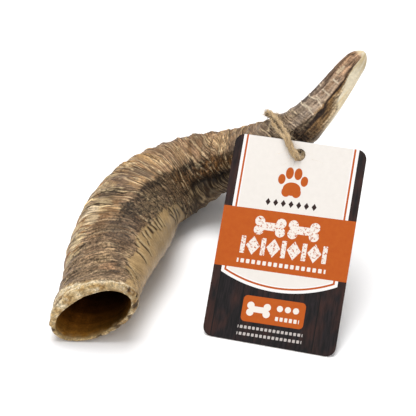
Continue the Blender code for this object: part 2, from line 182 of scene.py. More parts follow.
# Patches of the bark: share, degrees, half length in mm, half spread in degrees, colour, strength.
PATCHES = (
    (0.268, 76, 4, 13, "#6a5947", 0.8), (0.329, 70, 5, 14, "#5e4f40", 0.7),
    (0.276, 48, 3, 7, "#33271c", 0.6), (0.322, 43, 5, 5, "#36291d", 0.6), (0.212, 60, 5, 6, "#43362a", 0.5),
    (0.198, 52, 6, 10, "#5a4c3d", 0.6), (0.189, 38, 8, 11, "#594430", 0.8), (0.24, 53, 4, 6, "#42342a", 0.5),
    (0.05, 42, 4, 16, "#69523a", 0.7), (0.254, 92, 3, 9, "#6b5843", 0.7),
    (0.495, 38, 11, 7, "#33281e", 0.85), (0.235, 33, 9, 14, "#66553f", 0.8),
    (0.555, 72, 5, 12, "#6d5238", 0.6), (0.698, 20, 7, 18, "#4b3a2c", 0.7),
    (0.633, 70, 5, 14, "#745a42", 0.5), (0.639, -6, 12, 12, "#6b461f", 0.5),
    (0.416, 28, 8, 9, "#674723", 0.5), (0.575, 12, 9, 12, "#68441f", 0.5), (0.186, 81, 3, 6, "#90704b", 0.5),
    (0.16, 88, 4, 8, "#8a6a48", 0.5), (0.105, 84, 5, 12, "#7a6047", 0.5), (0.15, 56, 9, 17, "#5a4634", 0.85),
    (0.116, 46, 5, 14, "#624c37", 0.7), (0.072, 42, 4, 11, "#5f4a36", 0.7),
    (0.055, 104, 4, 10, "#5e4c3c", 0.7), (0.165, 86, 4, 10, "#5f4c3c", 0.7),
    (0.105, 62, 3, 9, "#a78b69", 0.6), (0.06, 55, 2.5, 12, "#a98260", 0.6),
    (0.59, -26, 8, 16, "#33261a", 0.75), (0.48, -45, 5, 12, "#6d563c", 0.5),
    (0.52, -58, 9, 18, "#7a6143", 0.75), (0.555, 30, 8, 9, "#3b2d21", 0.5), (0.6, 86, 6, 14, "#9b7c5a", 0.6),
    (0.078, 62, 3, 12, "#a58a66", 0.5), (0.178, 42, 6, 8, "#4b3a2c", 0.65),
    (0.115, 78, 4, 9, "#6a5544", 0.5), (0.545, -18, 6, 12, "#3c2c1e", 0.5),
    (0.605, 66, 6, 16, "#a3835f", 0.6), (0.1, 30, 3, 5, "#a98f68", 0.6),
    (0.285, 70, 2.5, 14, "#c09a6c", 0.7), (0.395, 72, 4, 18, "#bf9a6b", 0.6),
    (0.494, 62, 5, 14, "#b8946a", 0.6), (0.208, 104, 4, 11, "#d6c0a0", 0.8),
    (0.186, 99, 3, 8, "#d6bd97", 0.8), (0.15, 118, 6, 12, "#d4bd93", 0.7),
    (0.636, 32, 5, 14, "#c3a075", 0.6), (0.386, 96, 7, 10, "#c19a66", 0.5),
    (0.31, 100, 5, 8, "#c7a475", 0.6), (0.425, 6, 7, 12, "#4d3824", 0.55),
    (0.41, -33, 8, 12, "#57432f", 0.6), (0.616, 55, 5, 12, "#b09068", 0.6),
    (0.55, -42, 6, 10, "#6f583e", 0.6), (0.241, 66, 5, 8, "#a5876a", 0.45),
    (0.425, 52, 6, 8, "#b0906b", 0.4), (0.506, 24, 5, 8, "#7b5f42", 0.5), (0.6, -20, 5, 10, "#382a1d", 0.5),
    (0.306, 80, 5, 10, "#8a6f55", 0.5), (0.206, 77, 4, 8, "#96704a", 0.7), (0.191, 79, 3, 8, "#7d5f42", 0.6),
    (0.254, 89, 4, 10, "#6b5848", 0.7), (0.281, 101, 5, 8, "#8d7356", 0.7),
    (0.304, 93, 4, 11, "#6d5748", 0.75), (0.285, 77, 4, 10, "#7b6453", 0.6),
    (0.147, 85, 5, 9, "#71583f", 0.6), (0.171, 81, 3, 8, "#7c5d40", 0.6),
)
# The same for the tip alone.
TIP_PATCHES = (
    (0.964, 60, 2.2, 16, "#6a5648", 0.55), (0.945, 96, 5, 14, "#6b5746", 0.5),
    (0.925, 104, 7, 14, "#544437", 0.6), (0.905, 74, 5, 8, "#5f4c3d", 0.55),
    (0.88, 96, 8, 14, "#5b4b3f", 0.6), (0.951, 64, 3, 9, "#d2bd9d", 0.7),
    (0.966, 92, 4, 12, "#553b27", 0.65), (0.935, 88, 5, 12, "#553d2c", 0.6),
    (0.915, 52, 4, 9, "#8a6a4a", 0.5), (0.9, 98, 5, 10, "#523d2f", 0.6), (0.87, 98, 5, 12, "#5f4c3c", 0.55),
    (0.932, 62, 3, 9, "#bda184", 0.6), (0.915, 38, 6, 9, "#cdb195", 0.7),
    (0.975, 58, 2.5, 18, "#80634a", 0.6), (0.89, 36, 5, 8, "#bfa890", 0.6),
    (0.872, 22, 3, 6, "#b98f60", 0.6), (0.865, 30, 4, 8, "#b9a591", 0.6), (0.835, 40, 5, 12, "#b5a392", 0.6),
    (0.968, 30, 2.5, 8, "#3f2f24", 0.7), (0.845, 88, 6, 16, "#5c4d42", 0.55),
    (0.806, 58, 5, 14, "#a8957f", 0.5),
)
# Pale rings on the tip and pale crests on the bend, given as the cracks are.
PALE_LINES = (
    (0.93, 59, 0.931, 36, 0.26), (0.904, 62, 0.905, 28, 0.22), (0.873, 79, 0.884, 50, 0.2),
    (0.884, 50, 0.881, 22, 0.22), (0.887, 62, 0.887, 39, 0.15), (0.85, 80, 0.86, 48, 0.2),
    (0.86, 48, 0.86, 23, 0.24), (0.856, 76, 0.864, 39, 0.17), (0.823, 83, 0.834, 60, 0.22),
    (0.866, 130, 0.873, 79, 0.22), (0.844, 128, 0.85, 80, 0.22), (0.902, 110, 0.904, 80, 0.18),
    (0.4537, 108, 0.4338, 69, 0.2), (0.4338, 69, 0.4388, 58, 0.24), (0.4913, 78, 0.5062, 66, 0.26),
    (0.5062, 66, 0.5262, 43, 0.22), (0.535, 79, 0.5537, 58, 0.2), (0.5537, 58, 0.5725, 40, 0.22),
    (0.5587, 85, 0.5863, 58, 0.2), (0.61, 50, 0.64, 23, 0.22), (0.3625, 78, 0.3638, 60, 0.2),
    (0.3538, 97, 0.3262, 78, 0.22), (0.395, 82, 0.3937, 63, 0.2), (0.5138, 80, 0.525, 69, 0.18),
)
# Cracks and nicks: share and degrees of one end, then of the other, and half width in mm.
CRACKS = (
    (0.225, 18, 0.2213, 9, 0.3), (0.2162, 20, 0.21, 4, 0.3), (0.2075, 21, 0.2013, 4, 0.32),
    (0.1963, 23, 0.1938, 11, 0.38), (0.1837, 25, 0.1812, 14, 0.48), (0.1738, 26, 0.1663, 12, 0.3),
    (0.1663, 29, 0.1562, 17, 0.22), (0.154, 14, 0.1487, 9, 0.3), (0.1562, 41, 0.1425, 24, 0.2),
    (0.1425, 24, 0.1375, 3, 0.32), (0.1375, 3, 0.135, -6, 0.2), (0.135, 29, 0.1313, 21, 0.3),
    (0.1175, 23, 0.115, 8, 0.3), (0.115, 8, 0.11, -7, 0.24), (0.2825, 3, 0.2838, -1, 0.45),
    (0.2587, 1, 0.2687, -14, 0.45), (0.2687, -14, 0.26, -28, 0.75), (0.2975, -5, 0.3237, -23, 0.65),
    (0.22, 6, 0.2162, 1, 0.18), (0.2938, -31, 0.31, -38, 0.3), (0.27, 6, 0.27, -3, 0.45),
    (0.0788, 30, 0.0688, 15, 0.28), (0.0688, 15, 0.0513, -1, 0.22), (0.0563, 23, 0.045, 10, 0.28),
    (0.045, 10, 0.02, -2, 0.22), (0.0612, 37, 0.055, 20, 0.26), (0.095, 124, 0.115, 116, 0.32),
    (0.115, 116, 0.1225, 95, 0.26), (0.0788, 122, 0.0975, 95, 0.26), (0.0413, 120, 0.0713, 90, 0.3),
    (0.0575, 107, 0.0588, 94, 0.26), (0.155, 126, 0.1663, 106, 0.24), (0.1925, 126, 0.195, 100, 0.26),
    (0.2263, 128, 0.2213, 96, 0.24), (0.2213, 96, 0.2137, 79, 0.22), (0.26, 122, 0.256, 95, 0.3),
    (0.256, 95, 0.245, 72, 0.28), (0.264, 100, 0.254, 76, 0.24), (0.973, 122, 0.986, 78, 0.28),
    (0.969, 120, 0.935, 114, 0.26), (0.935, 114, 0.92, 92, 0.22), (0.912, 68, 0.885, 70, 0.14),
    (0.961, 112, 0.945, 104, 0.22), (0.89, 88, 0.865, 96, 0.2), (0.944, 84, 0.928, 78, 0.14),
    (0.3088, 15, 0.285, -2, 0.4), (0.285, -2, 0.2838, -21, 0.85), (0.3225, 0, 0.3625, -19, 0.7),
    (0.3563, -14, 0.3975, -30, 0.85), (0.2762, 11, 0.2562, 3, 0.36),
)
# How dark the flakes on the long edge are, by share.
EDGE_FLAKES = (
    (0.15, 0), (0.175, 0.9), (0.19, 0.7), (0.205, 1), (0.222, 0.5), (0.24, 0.45), (0.262, 0.9), (0.29, 1),
    (0.32, 0.7), (0.36, 0.5), (0.42, 0.45), (0.5, 0.2), (0.56, 0),
)
# Dark crevices in the lip: degrees round it, half width in degrees, mm past the skin's end, half reach.
CREVICES = (
    (117, 6, 2.2, 1.5), (126, 5, 1.4, 1), (168, 6, -1, 2.4), (-28, 7, -1.2, 2.2), (-104, 5, -1.8, 2),
    (-74, 7, -1.8, 2.4), (-52, 6, -1, 2), (-12, 5, 0.6, 1.8), (-90, 3, -0.5, 1.5), (10, 4, -0.8, 1.2),
)

# The card, as in the part.
TAG_HEIGHT = 85.0
TAG_THICKNESS = 0.7
FACE_DEPTH = 0.02  # mm under a face to which its print goes
TAG_HOLE_DROP = 5.5
TAG_FOOT = (24, -55.5)
TAG_YAW = radians(-14.7)
TAG_LEAN = radians(42.4)
PRINT_SKEW = 0.022  # the print's lines rise a little to the left, in mm a mm
BOARD_WIDTH = 10.5
BOARD_START = 40.3  # boards counted from the left, which also chooses their tones
BOARD_GAP = 0.035  # of a board's width
SQUARE = 0.01  # mm, the corner of a panel that has square ones
BAND_TOP = 30.0  # mm below the upper edge
BAND_LOW = 55.0
SHIELD_HALF = 24.1
SHIELD_LOW = 62.9
SHIELD_RADIUS = 55.0

# The twine: two strands side by side, each of two yarns.
STRAND = 1.85  # mm across a strand
PLY = 1.16  # mm across a yarn
PLY_OFFSET = 0.37  # mm from the strand's middle to a yarn's
LAY = 8.5  # mm along the strand for one turn of its yarns
PLY_STEP = 0.28  # mm between the rings of a yarn
PLY_SIDES = 10
FIBRES_A_STEP = 2.6
CURVE_READS = 24  # reads of a curve between two of its points
HAIR = 0.085  # mm across a loose fibre where it starts
HAIR_STEPS = 6
TAIL_FIBRES = 60  # further fibres at each tail's end

# The stage, in metres: floor, soft room, lamps (name, place, size and watts) and the photograph's camera.
FLOOR_HALF = 3.0
ROOM_STRENGTH = 0.42
LAMPS = (("key", (-0.06, 0.15, 1.2), 0.8, 15.4), ("fill", (-0.5, -1.1, 0.9), 1.4, 6.0))
LAMP_AIM = (0, 0, 0.03)
CAMERA_PLACE = (-0.0001, -0.4020, 0.3213)
CAMERA_TILT = radians(54)
CAMERA_LENS = 100


def linear(colour):
    """Colour "#rrggbb" in sRGB as linear red, green and blue; what is linear already stays."""
    if not isinstance(colour, str):
        return colour
    value = np.array([int(colour[i:i + 2], 16) for i in (1, 3, 5)]) / 255
    return np.where(value <= 0.04045, value / 12.92, ((value + 0.055) / 1.055)**2.4)


def plug(node, *inputs, **named):
    """Gives a node's inputs their values: those in use in order, and others by name. A node given as a value
    stands for its first output in use, and a colour is given by its code."""
    pairs = list(zip([socket for socket in node.inputs if socket.enabled], inputs))
    pairs += [(node.inputs[name.replace("_", " ")], value) for name, value in named.items()]
    for socket, value in pairs:
        if isinstance(value, bpy.types.Node):
            value = next(out for out in value.outputs if out.enabled)
        if isinstance(value, bpy.types.NodeSocket):
            node.id_data.links.new(value, socket)
        else:
            socket.default_value = (*linear(value), 1) if isinstance(value, str) else value


def add_node(tree, kind, *inputs, **settings):
    """Adds one shader node. After a dot its kind names the operation, or a mix node's data. Settings are in
    lower case, and inputs by name start with a capital."""
    kind, _, choice = kind.partition(".")
    made = tree.nodes.new("ShaderNode" + kind)
    if choice:
        setattr(made, "data_type" if kind == "Mix" else "operation", choice)
    for name in [name for name in settings if name.islower()]:
        setattr(made, name, settings.pop(name))
    plug(made, *inputs, **settings)
    return made


def new_material(name):
    """A material, its Principled shader, and a function that adds nodes to its tree."""
    material = bpy.data.materials.new(name)
    material.use_nodes = True
    return material, material.node_tree.nodes["Principled BSDF"], partial(add_node, material.node_tree)


def ease(value, low, high):
    """0 below low, 1 above high, and smooth between."""
    part = np.clip((value - low) / (high - low), 0, 1)
    return part * part * (3 - 2 * part)


def mix(tint, *layers):
    """A tint turned into each colour in turn by the part, an array, that follows it."""
    tint = linear(tint)
    for colour, part in zip(layers[::2], layers[1::2]):
        tint = tint + (linear(colour) - tint) * part[..., None]
    return tint


def darken(tint, power):
    """A tint times e to a power: below zero it gets darker, above zero brighter."""
    return tint * np.exp(power)[..., None]


def bell(away, width):
    """1 where away is zero, falling off on both sides as a normal curve does."""
    return np.exp(-(away / width)**2)


def unit(vectors):
    """The vectors made one long."""
    return vectors / np.linalg.norm(vectors, axis=-1, keepdims=True)


def ripple(angle, length, size, cells, seed):
    """Smooth noise from about -1 to 1: at each point of a grid, one size of length apart and cells to a turn,
    stands a random slope; the four slopes round a place are blended with fifth-power easing."""
    turn = np.random.default_rng(seed).uniform(0, TAU, (NOISE_COLUMNS, cells))
    x, y = np.broadcast_arrays(length / size, (angle % TAU) / TAU * cells)
    column = np.floor(x).astype(int)
    row = np.floor(y).astype(int)
    total = 0
    for right, above in ((0, 0), (0, 1), (1, 0), (1, 1)):
        u = x - column - right
        v = y - row - above
        slope = turn[(column + right) % NOISE_COLUMNS, (row + above) % cells]
        near = 1 - abs(np.stack((u, v)))
        weight = np.prod(near**3 * (near * (near * 6 - 15) + 10), axis=0)
        total = total + weight * (np.cos(slope) * u + np.sin(slope) * v)
    return total * NOISE_HEIGHT


def crest(angle, length, size, cells, seed, sharp):
    """Thin lines where the noise crosses zero: one less its size times sharp, not below zero."""
    return np.clip(1 - abs(ripple(angle, length, size, cells, seed)) * sharp, 0, 1)


def spline(knots, values, at):
    """Smooth cubic through values at knots, read at the given places."""
    gap = np.diff(knots)
    rise = np.diff(values, axis=0) / gap[:, None]
    count = len(knots)
    system = np.zeros((count, count))
    right = np.zeros(values.shape)
    for i in range(1, count - 1):
        system[i, i - 1:i + 2] = gap[i - 1], 2 * (gap[i - 1] + gap[i]), gap[i]
        right[i] = 6 * (rise[i] - rise[i - 1])
    system[0, :3] = gap[1], -(gap[0] + gap[1]), gap[0]
    system[-1, -3:] = gap[-1], -(gap[-2] + gap[-1]), gap[-2]
    bend = np.linalg.solve(system, right)
    i = np.clip(np.searchsorted(knots, at, side="right") - 1, 0, count - 2)
    step = (at - knots[i])[:, None]
    span = gap[i][:, None]
    slope = rise[i] - span * (2 * bend[i] + bend[i + 1]) / 6
    return values[i] + step * slope + step**2 * bend[i] / 2 + step**3 * (bend[i + 1] - bend[i]) / (6 * span)


def along_line(line, share):
    """Angle in radians of a line drawn along the horn, at the given shares of its length."""
    table = np.array(line, float)
    return np.radians(np.interp(share, table[:, 0], table[:, 1]))


def angle_from(angle, middle):
    """Difference of two angles, brought into the range of half a turn each way."""
    return (angle - middle + pi) % TAU - pi


def beyond(angle, degrees):
    """How far in radians an angle is past one in degrees."""
    return angle_from(angle, radians(degrees))


def past_line(line, share, angle):
    """How far in radians an angle is past a line drawn along the horn."""
    return angle_from(angle, along_line(line, share))


def horn_axis(share):
    """Middle points, half sizes and the wide and high directions of the sections, for a list of shares."""
    table = np.array(HORN_STATIONS)
    knots = table[:, 0]
    read = spline(knots, table[:, 1:], share)
    nudge = 1e-3
    ahead = spline(knots, table[:, 1:4], np.minimum(share + nudge, 1))
    behind = spline(knots, table[:, 1:4], np.maximum(share - nudge, 0))
    tangent = unit(ahead - behind)
    side = unit(np.cross(tangent, (0, 0, 1)))
    up = np.cross(side, tangent)
    past = np.clip((share - TIP_ROUNDING) / (1 - TIP_ROUNDING), 0, 1)
    half_width = read[:, 3] * np.sqrt(1 - past**2)
    flatness = MOUTH_FLATNESS + (TIP_FLATNESS - MOUTH_FLATNESS) * (1 - np.exp(-share / FLATNESS_FADE))
    roll = MOUTH_ROLL * (1 - share)**ROLL_FADE
    wide = side * np.cos(roll)[:, None] + up * np.sin(roll)[:, None]
    high = up * np.cos(roll)[:, None] - side * np.sin(roll)[:, None]
    return read[:, :3] + (0, 0, HORN_REST), half_width, half_width * flatness, wide, high


def middle_at(share):
    """Middle point of the horn's section at one share."""
    return horn_axis(np.array([share]))[0][0]


def section_scale(share, angle):
    """Shape of the section: a rounded triangle with one raised edge and one groove."""
    three_sided = THREE_SIDED * np.sin(pi * np.clip(share, 0.05, 0.95))
    scale = 1 + three_sided * np.cos(3 * (angle - TRIANGLE_TURN))
    edge = past_line(ARRIS_LINE, share, angle)
    scale = scale + ARRIS_RISE * ease(share, 0.1, 0.3) * bell(edge, ARRIS_SPREAD)
    groove = past_line(GROOVE_LINE, share, angle)
    reach = bell(share - GROOVE_MIDDLE, GROOVE_REACH)
    return scale - GROOVE_DEPTH * reach * bell(groove, GROOVE_SPREAD)


def broad_relief(share, angle):
    """The part's own growth rings and slow lumps, in mm."""
    length = share * HORN_LENGTH
    sway = RING_SWAY[0] * np.sin(angle + 0.6) + RING_SWAY[1] * np.sin(2 * angle + length / 40)
    phase = TAU * (length / RING_PITCH + 0.25 * np.sin(length / 23)) + sway
    smooth = bell(angle_from(angle, SMOOTH_SIDE), SMOOTH_SPREAD) * (1 - ease(share, *SMOOTH_END))
    ring = RING_HEIGHT * (1 - np.abs(np.sin(phase / 2)) * 2) * (1 - 0.85 * smooth)
    ring = ring * (1 - ease(share, RING_TIP_FADE - 0.1, RING_TIP_FADE))
    lump = np.sin(3 * angle + length / 9) * np.sin(length / 13 + 1) + 0.6 * np.sin(5 * angle - length / 6)
    lump = LUMP_HEIGHT * lump * (1 - ease(share, *LUMP_FADE)) * (1 - 0.7 * smooth)
    from_neck = ((share - NECK_AT) / NECK_REACH)**2 + (angle_from(angle, NECK_SIDE) / NECK_SPREAD)**2
    neck = NECK_DEPTH * np.exp(-from_neck)
    return (ring + lump) * ease(share, 0, 0.05) - neck


def horn_skin(share, angle, lift):
    """Outer points for a column of shares and a row of angles: the middle plus the section's reach across
    and upward, lengthened by the relief."""
    middle, half_width, half_height, wide, high = horn_axis(share[:, 0])
    scale = section_scale(share, angle)
    across = half_width[:, None] * scale * np.cos(angle)
    upward = half_height[:, None] * scale * np.sin(angle)
    reach = np.hypot(across, upward)
    relief = broad_relief(share, angle) * np.minimum(1, half_width / 6)[:, None]
    grow = (1 + (relief + lift) / np.maximum(reach, 1e-6))[..., None]
    points = middle[:, None] + wide[:, None] * across[..., None] * grow
    return points + high[:, None] * upward[..., None] * grow


def hollow_skin(share, angle, lift):
    """Points of the hollow: an ellipse less the wall, narrowing as a power of the way left to its end."""
    middle, half_width, half_height, wide, high = horn_axis(share[:, 0])
    taper = (1 - share / HOLLOW_END)**HOLLOW_TAPER
    across = ((half_width[:, None] - WALL + lift) * np.cos(angle) + HOLLOW_SHIFT[0]) * taper
    upward = ((half_height[:, None] - WALL + lift) * np.sin(angle) + HOLLOW_SHIFT[1]) * taper
    return middle[:, None] + wide[:, None] * across[..., None] + high[:, None] * upward[..., None]


def by_share(table, share):
    """Colour read from a table of share and hex colour, straight between entries."""
    places = [row[0] for row in table]
    colours = np.array([linear(row[1]) for row in table])
    return np.stack([np.interp(share, places, colours[:, i]) for i in range(3)], axis=-1)


def blotch(share, angle, table):
    """How much of each patch lies at a place, as a bell of its two distances with a ragged edge."""
    length = share * HORN_LENGTH
    ragged = 0.5 * ripple(angle, length, 3, 16, 51) + 0.4 * ripple(angle, length, 1.2, 34, 52)
    for place, degrees, long, spread, colour, strength in table:
        across = np.degrees(beyond(angle, degrees)) / spread
        reach = ((length - place * HORN_LENGTH) / long)**2 + across**2
        yield colour, strength * ease(1.15 - np.sqrt(reach) + 0.8 * ragged, 0.0, 0.28)


def near_lines(share, angle, table, shift=0.0, waver=LINE_WAVER):
    """How near each place is to a line of the table: a flat-topped bell of its distance in mm, on the skin
    unrolled to length and arc, with the lines moved by a shift towards the tip."""
    stations = np.array(HORN_STATIONS)
    place = share * HORN_LENGTH + waver * ripple(angle, share * HORN_LENGTH, 1.6, 34, 70) - shift
    around = np.interp(share, stations[:, 0], stations[:, 4]) * angle_from(angle, 0.0)
    near = np.zeros(around.shape)
    for first, turn, last, end_turn, half in table:
        radii = np.interp((first, last), stations[:, 0], stations[:, 4])
        start = np.array((first * HORN_LENGTH, radii[0] * radians(turn)))
        run = np.array((last * HORN_LENGTH, radii[1] * radians(end_turn))) - start
        x, y = place - start[0], around - start[1]
        part = np.clip((x * run[0] + y * run[1]) / (run @ run), 0, 1)
        far = np.hypot(x - part * run[0], y - part * run[1])
        near = np.maximum(near, np.exp(-(far / (1.4 * half))**4))
    return near


def ring_course(share, angle):
    """How far in mm the growth rings run ahead at a place: the table of courses, read straight between its
    angles and then between its rows."""
    degrees = np.degrees(angle_from(angle, 0.0))[0]
    rows = np.array([np.interp(degrees, COURSE_ANGLES, ahead) for _, ahead in COURSES])
    place = np.interp(share[:, 0], [row[0] for row in COURSES], np.arange(len(COURSES)))
    low = np.minimum(place.astype(int), len(COURSES) - 2)
    part = (place - low)[:, None]
    return rows[low] * (1 - part) + rows[low + 1] * part


def bark(share, angle):
    """Fine relief in mm, colour, how ridged and how scaly the outer skin is, and its mm along the rings.

    Growth ridges are noise stretched round the horn, read along a line that slants with the horn's own twist
    and wavers; their crests get a painted highlight and the dips and undercuts between them painted shade.
    Below the long edge the bark is scaly.
    The smooth cream face and the ivory stripe of the tip lie lower, where the bark has gone."""
    length = share * HORN_LENGTH
    past = partial(ease, share)
    spots = partial(ripple, angle, length)
    slant = ring_course(share, angle)
    waver = 0.8 * spots(11, 6, 1) + 0.4 * spots(3.4, 18, 2)
    waver += 0.16 * spots(1.6, 42, 29)
    along = length - slant + waver
    rings = partial(ripple, angle, along)
    ring_lines = partial(crest, angle, along)
    open_line = ease(spots(3, 11, 36), -0.35, 0.05)
    # The ledges of the growth rings: a dark undercut line, painted shade, and 0.55 mm towards the tip a
    # raised lip with a painted highlight, as if lit from behind; both also shape the relief.
    ledge_undercut_shade = ring_lines(2.1, 7, 3, 5.0) * open_line
    ledge_lip_highlight = crest(angle, along - 0.55, 2.1, 7, 3, 4.0) * open_line
    thin = ring_lines(1.2, 10, 37, 4.0) * ease(spots(2.5, 12, 38), -0.2, 0.2)
    groove_line = 2 * abs(np.sin(pi * along / LINE_PITCH)) - 1
    fine = rings(0.8, 24, 4)
    broad = rings(3.2, 8, 5)
    calm = ease(spots(9, 8, 6), -0.5, 0.3)
    rounds = along / RIDGE_PITCH + 0.42 * spots(9, 5, 62) + 0.1 * spots(2, 24, 65)
    phase = rounds - np.round(rounds)
    lone = ripple(angle, rounds, 1.6, 7, 63) + 0.5 * spots(3, 18, 64)
    # Painted light on the rolling ridges: a highlight line on each crest and a shade line on the step just
    # after it; both also shape the relief.
    crest_highlight = bell(phase, 0.075) * ease(lone, -0.35, 0.25)
    step_shade = bell(phase - 0.2, 0.085) * ease(lone, -0.45, 0.1)
    roll = np.cos(TAU * phase)
    stroke = ring_lines(4.0, 6, 7, 8.0) * ease(spots(4, 9, 8), 0.0, 0.25)
    scales = spots(1.5, 44, 9) + 0.6 * spots(0.8, 66, 10)
    cloud = spots(9, 9, 11) + 0.6 * spots(4, 20, 12)
    warm = spots(12, 8, 13) + 0.5 * spots(5, 16, 14)

    edge = past_line(ARRIS_LINE, share, angle) + 0.05 * spots(4, 12, 15)
    jag = 0.09 * rings(1.6, 10, 16) + 0.1 * spots(7, 7, 17)
    steps = 0.1 * rings(2.6, 9, 40) + 0.05 * spots(1.2, 22, 71)
    side = ease(-edge, -0.015, 0.035) * ease(beyond(angle, -110), -0.2, 0.3) * past(0.13, 0.22)
    groove_from = past_line(GROOVE_LINE, share, angle) + 0.5 * jag
    under = ease(-groove_from, -0.02, 0.1) * past(0.4, 0.46)
    groove = bell(groove_from, 0.15) * past(0.42, 0.5) * (1 - past(0.68, 0.78))
    foot = ease(beyond(angle, -100) + 2 * jag, -0.1, 0.25)
    cream_from = past_line(CREAM_LINE, share, angle) + steps
    cream = ease(-cream_from, -0.01, 0.03) * foot * (1 - ease(share + 0.3 * jag, 0.385, 0.415))
    streaks = spots(14, 34, 53) + 0.6 * spots(6, 60, 54)
    tip = past(0.8, 0.86)
    ivory_from = past_line(IVORY_LINE, share, angle) + 0.3 * jag
    ivory_from += 0.14 * streaks * (1 - past(0.93, 0.96))
    soft = np.interp(share, (0.84, 0.88, 0.93), (0.5, 0.25, 0.06))
    ivory = ease(-ivory_from, -0.02, soft) * ease(beyond(angle, -150), -0.2, 0.4)
    ivory = np.maximum(ivory * past(0.7, 0.8), ease(share + 0.02 * jag, 0.989, 0.994))
    flank = ease(past_line(FLANK_LINE, share, angle) + 2.2 * jag + 0.15 * cloud, -0.03, 0.06)
    flank *= past(0.07, 0.1) * (1 - ease(share + 0.2 * jag, 0.3, 0.44))
    flank *= 1 - ease(beyond(angle, 215), -0.5, 0.2)
    bare = np.clip(cream + ivory, 0, 1)
    ridged = (1 - bare) * (1 - 0.45 * side) * (1 - 0.7 * tip) * (0.55 + 0.45 * calm)
    grainy = (1 - past(0.14, 0.24)) * (1 - bare) * (1 - flank)
    ridged *= (1 - 0.35 * grainy) * (1 - 0.3 * flank)
    ridged += cream * (0.08 + 0.34 * (1 - past(0.03, 0.1)))
    scaly = (1 - bare) * side * (1 - under) * (1 - 0.75 * tip)
    scaly = np.maximum(scaly, 0.45 * grainy)

    height = ridged * (0.08 * groove_line + 0.05 * fine + 0.08 * broad + 0.16 * stroke - 0.12 * thin)
    height += ridged * (0.12 * ledge_lip_highlight - 0.2 * ledge_undercut_shade)
    rolling = ridged * np.interp(share, (0.0, 0.12, 0.24, 0.32, 0.72, 0.8), (0.3, 0.45, 0.75, 1.0, 1.0, 0.5))
    height += rolling * (0.12 * roll + 0.1 * crest_highlight - 0.2 * step_shade)
    height += 0.15 * scaly * scales + 0.26 * (1 - bare) - 0.1 * flank - 0.3 * groove

    band_tint = mix("#926638", "#d5b98b", ease(rings(3.0, 6, 39) + 0.4 * cloud, -0.45, 0.3))
    warm = np.clip(warm - 0.15, 0, 0.4) * (1 - 0.5 * tip) * (1 - 0.8 * side) * (1 - 0.5 * grainy)
    dull = np.clip(cloud - 0.1, 0, 0.55) * (1 - 0.6 * tip) * (1 - 0.5 * flank)
    tint = mix(by_share(TOP_TINTS, share), by_share(SIDE_TINTS, share), side,
               by_share(UNDER_TINTS, share), under, band_tint, 0.85 * flank, "#5a4a3b", dull, "#85643f", warm)
    ragged = (along + slant) / HORN_LENGTH + 0.006 * spots(1.5, 30, 46)
    for colour, part in blotch(ragged, angle + 0.16 * rings(1.4, 9, 47), PATCHES):
        tint = mix(tint, colour, part * (1 - bare))
    mottle = rings(1.5, 20, 66) + 0.8 * rings(0.9, 38, 67)
    tint = darken(tint, 0.22 * grainy * mottle)
    height += 0.07 * grainy * mottle
    # Painted light and shade on the ledges, a highlight on each lip and shade in each undercut, with tone
    # from noise and dark thin lines.
    shade = 0.3 * fine + 0.25 * broad + 0.42 * ledge_lip_highlight - 0.95 * ledge_undercut_shade - 0.55 * thin
    tint = darken(tint, ridged * (shade + 0.08) + scaly * 0.6 * scales)
    wide_ring = rings(8, 4, 72) + 0.6 * rings(3.6, 9, 73)
    # Painted light on the rolling ridges: lighter towards each crest and darker between, painted shade on
    # each step, and tone from broad rings; then the crests get pale painted highlight lines.
    tint = darken(tint, rolling * (0.16 * roll - 1.2 * step_shade) + 0.17 * ridged * wide_ring)
    stroke *= 0.2 + 0.4 * past(0.2, 0.3)
    tint = mix(tint, "#dfc49a", np.clip(1.2 * crest_highlight * rolling, 0, 1),
               "#dfc79e", np.clip(1.2 * stroke * ridged, 0, 1))
    dash = ring_lines(2.2, 15, 21, 5.0) * ease(spots(3, 18, 22), -0.15, 0.1)
    long_dash = ring_lines(2.8, 5, 60, 5.5) * ease(spots(4, 7, 61), -0.6, -0.2)
    dash = np.clip(dash * ridged * (0.8 - 0.6 * flank) + long_dash * flank, 0, 1)
    tint = mix(tint, "#503a26", 0.85 * dash)
    height -= 0.18 * dash
    tint = tint * (1 - 0.25 * under * (1 - tip))[..., None]
    streak = ring_lines(1.7, 6, 23, 5.0) * under * ease(spots(5, 11, 24), -0.25, 0.1)
    tint = mix(tint, "#bda27a", 0.75 * streak * (1 - bare), "#18110b", 0.9 * groove)
    flaky = spots(2.2, 40, 48) + 0.7 * spots(6, 16, 49)
    flaky = ease(flaky - abs(edge + 0.07) / 0.12 + 0.85, 0.0, 0.2) * (1 - bare)
    flaky *= np.interp(share, *zip(*EDGE_FLAKES))
    tint = mix(tint, "#33271b", 0.68 * flaky)
    height += 0.12 * flaky
    scaly = np.maximum(scaly, 0.8 * flaky)

    near_mouth = 1 - past(0.04, 0.11)
    cream_shade = 0.05 * fine + 0.2 * cloud + 0.1 * broad - 0.14 * past(0.1, 0.2)
    # The ledges' painted highlight and painted shade also fall on the cream face, strongest near the mouth.
    cream_shade += (0.25 + near_mouth) * (0.16 * ledge_lip_highlight - 0.45 * ledge_undercut_shade - 0.25 * thin)
    cream_shade += 0.14 * ease(cream_from, -0.55, -0.1) * (1 - past(0.2, 0.3))
    height += cream * (0.05 * fine + 0.06 * broad)
    crack = near_lines(share, angle, CRACKS)
    # A pale raised line beside each crack, 0.6 mm towards the tip: a painted highlight on the crack's edge.
    beside = near_lines(share, angle, CRACKS, 0.6) * (1 - crack) * (1 - tip)
    tint = mix(tint, darken(linear("#ae9166"), cream_shade), cream, "#2f2017", 0.95 * crack,
               "#cfb78e", 0.55 * beside * (1 - 0.5 * grainy))
    height += 0.12 * beside - 0.35 * crack

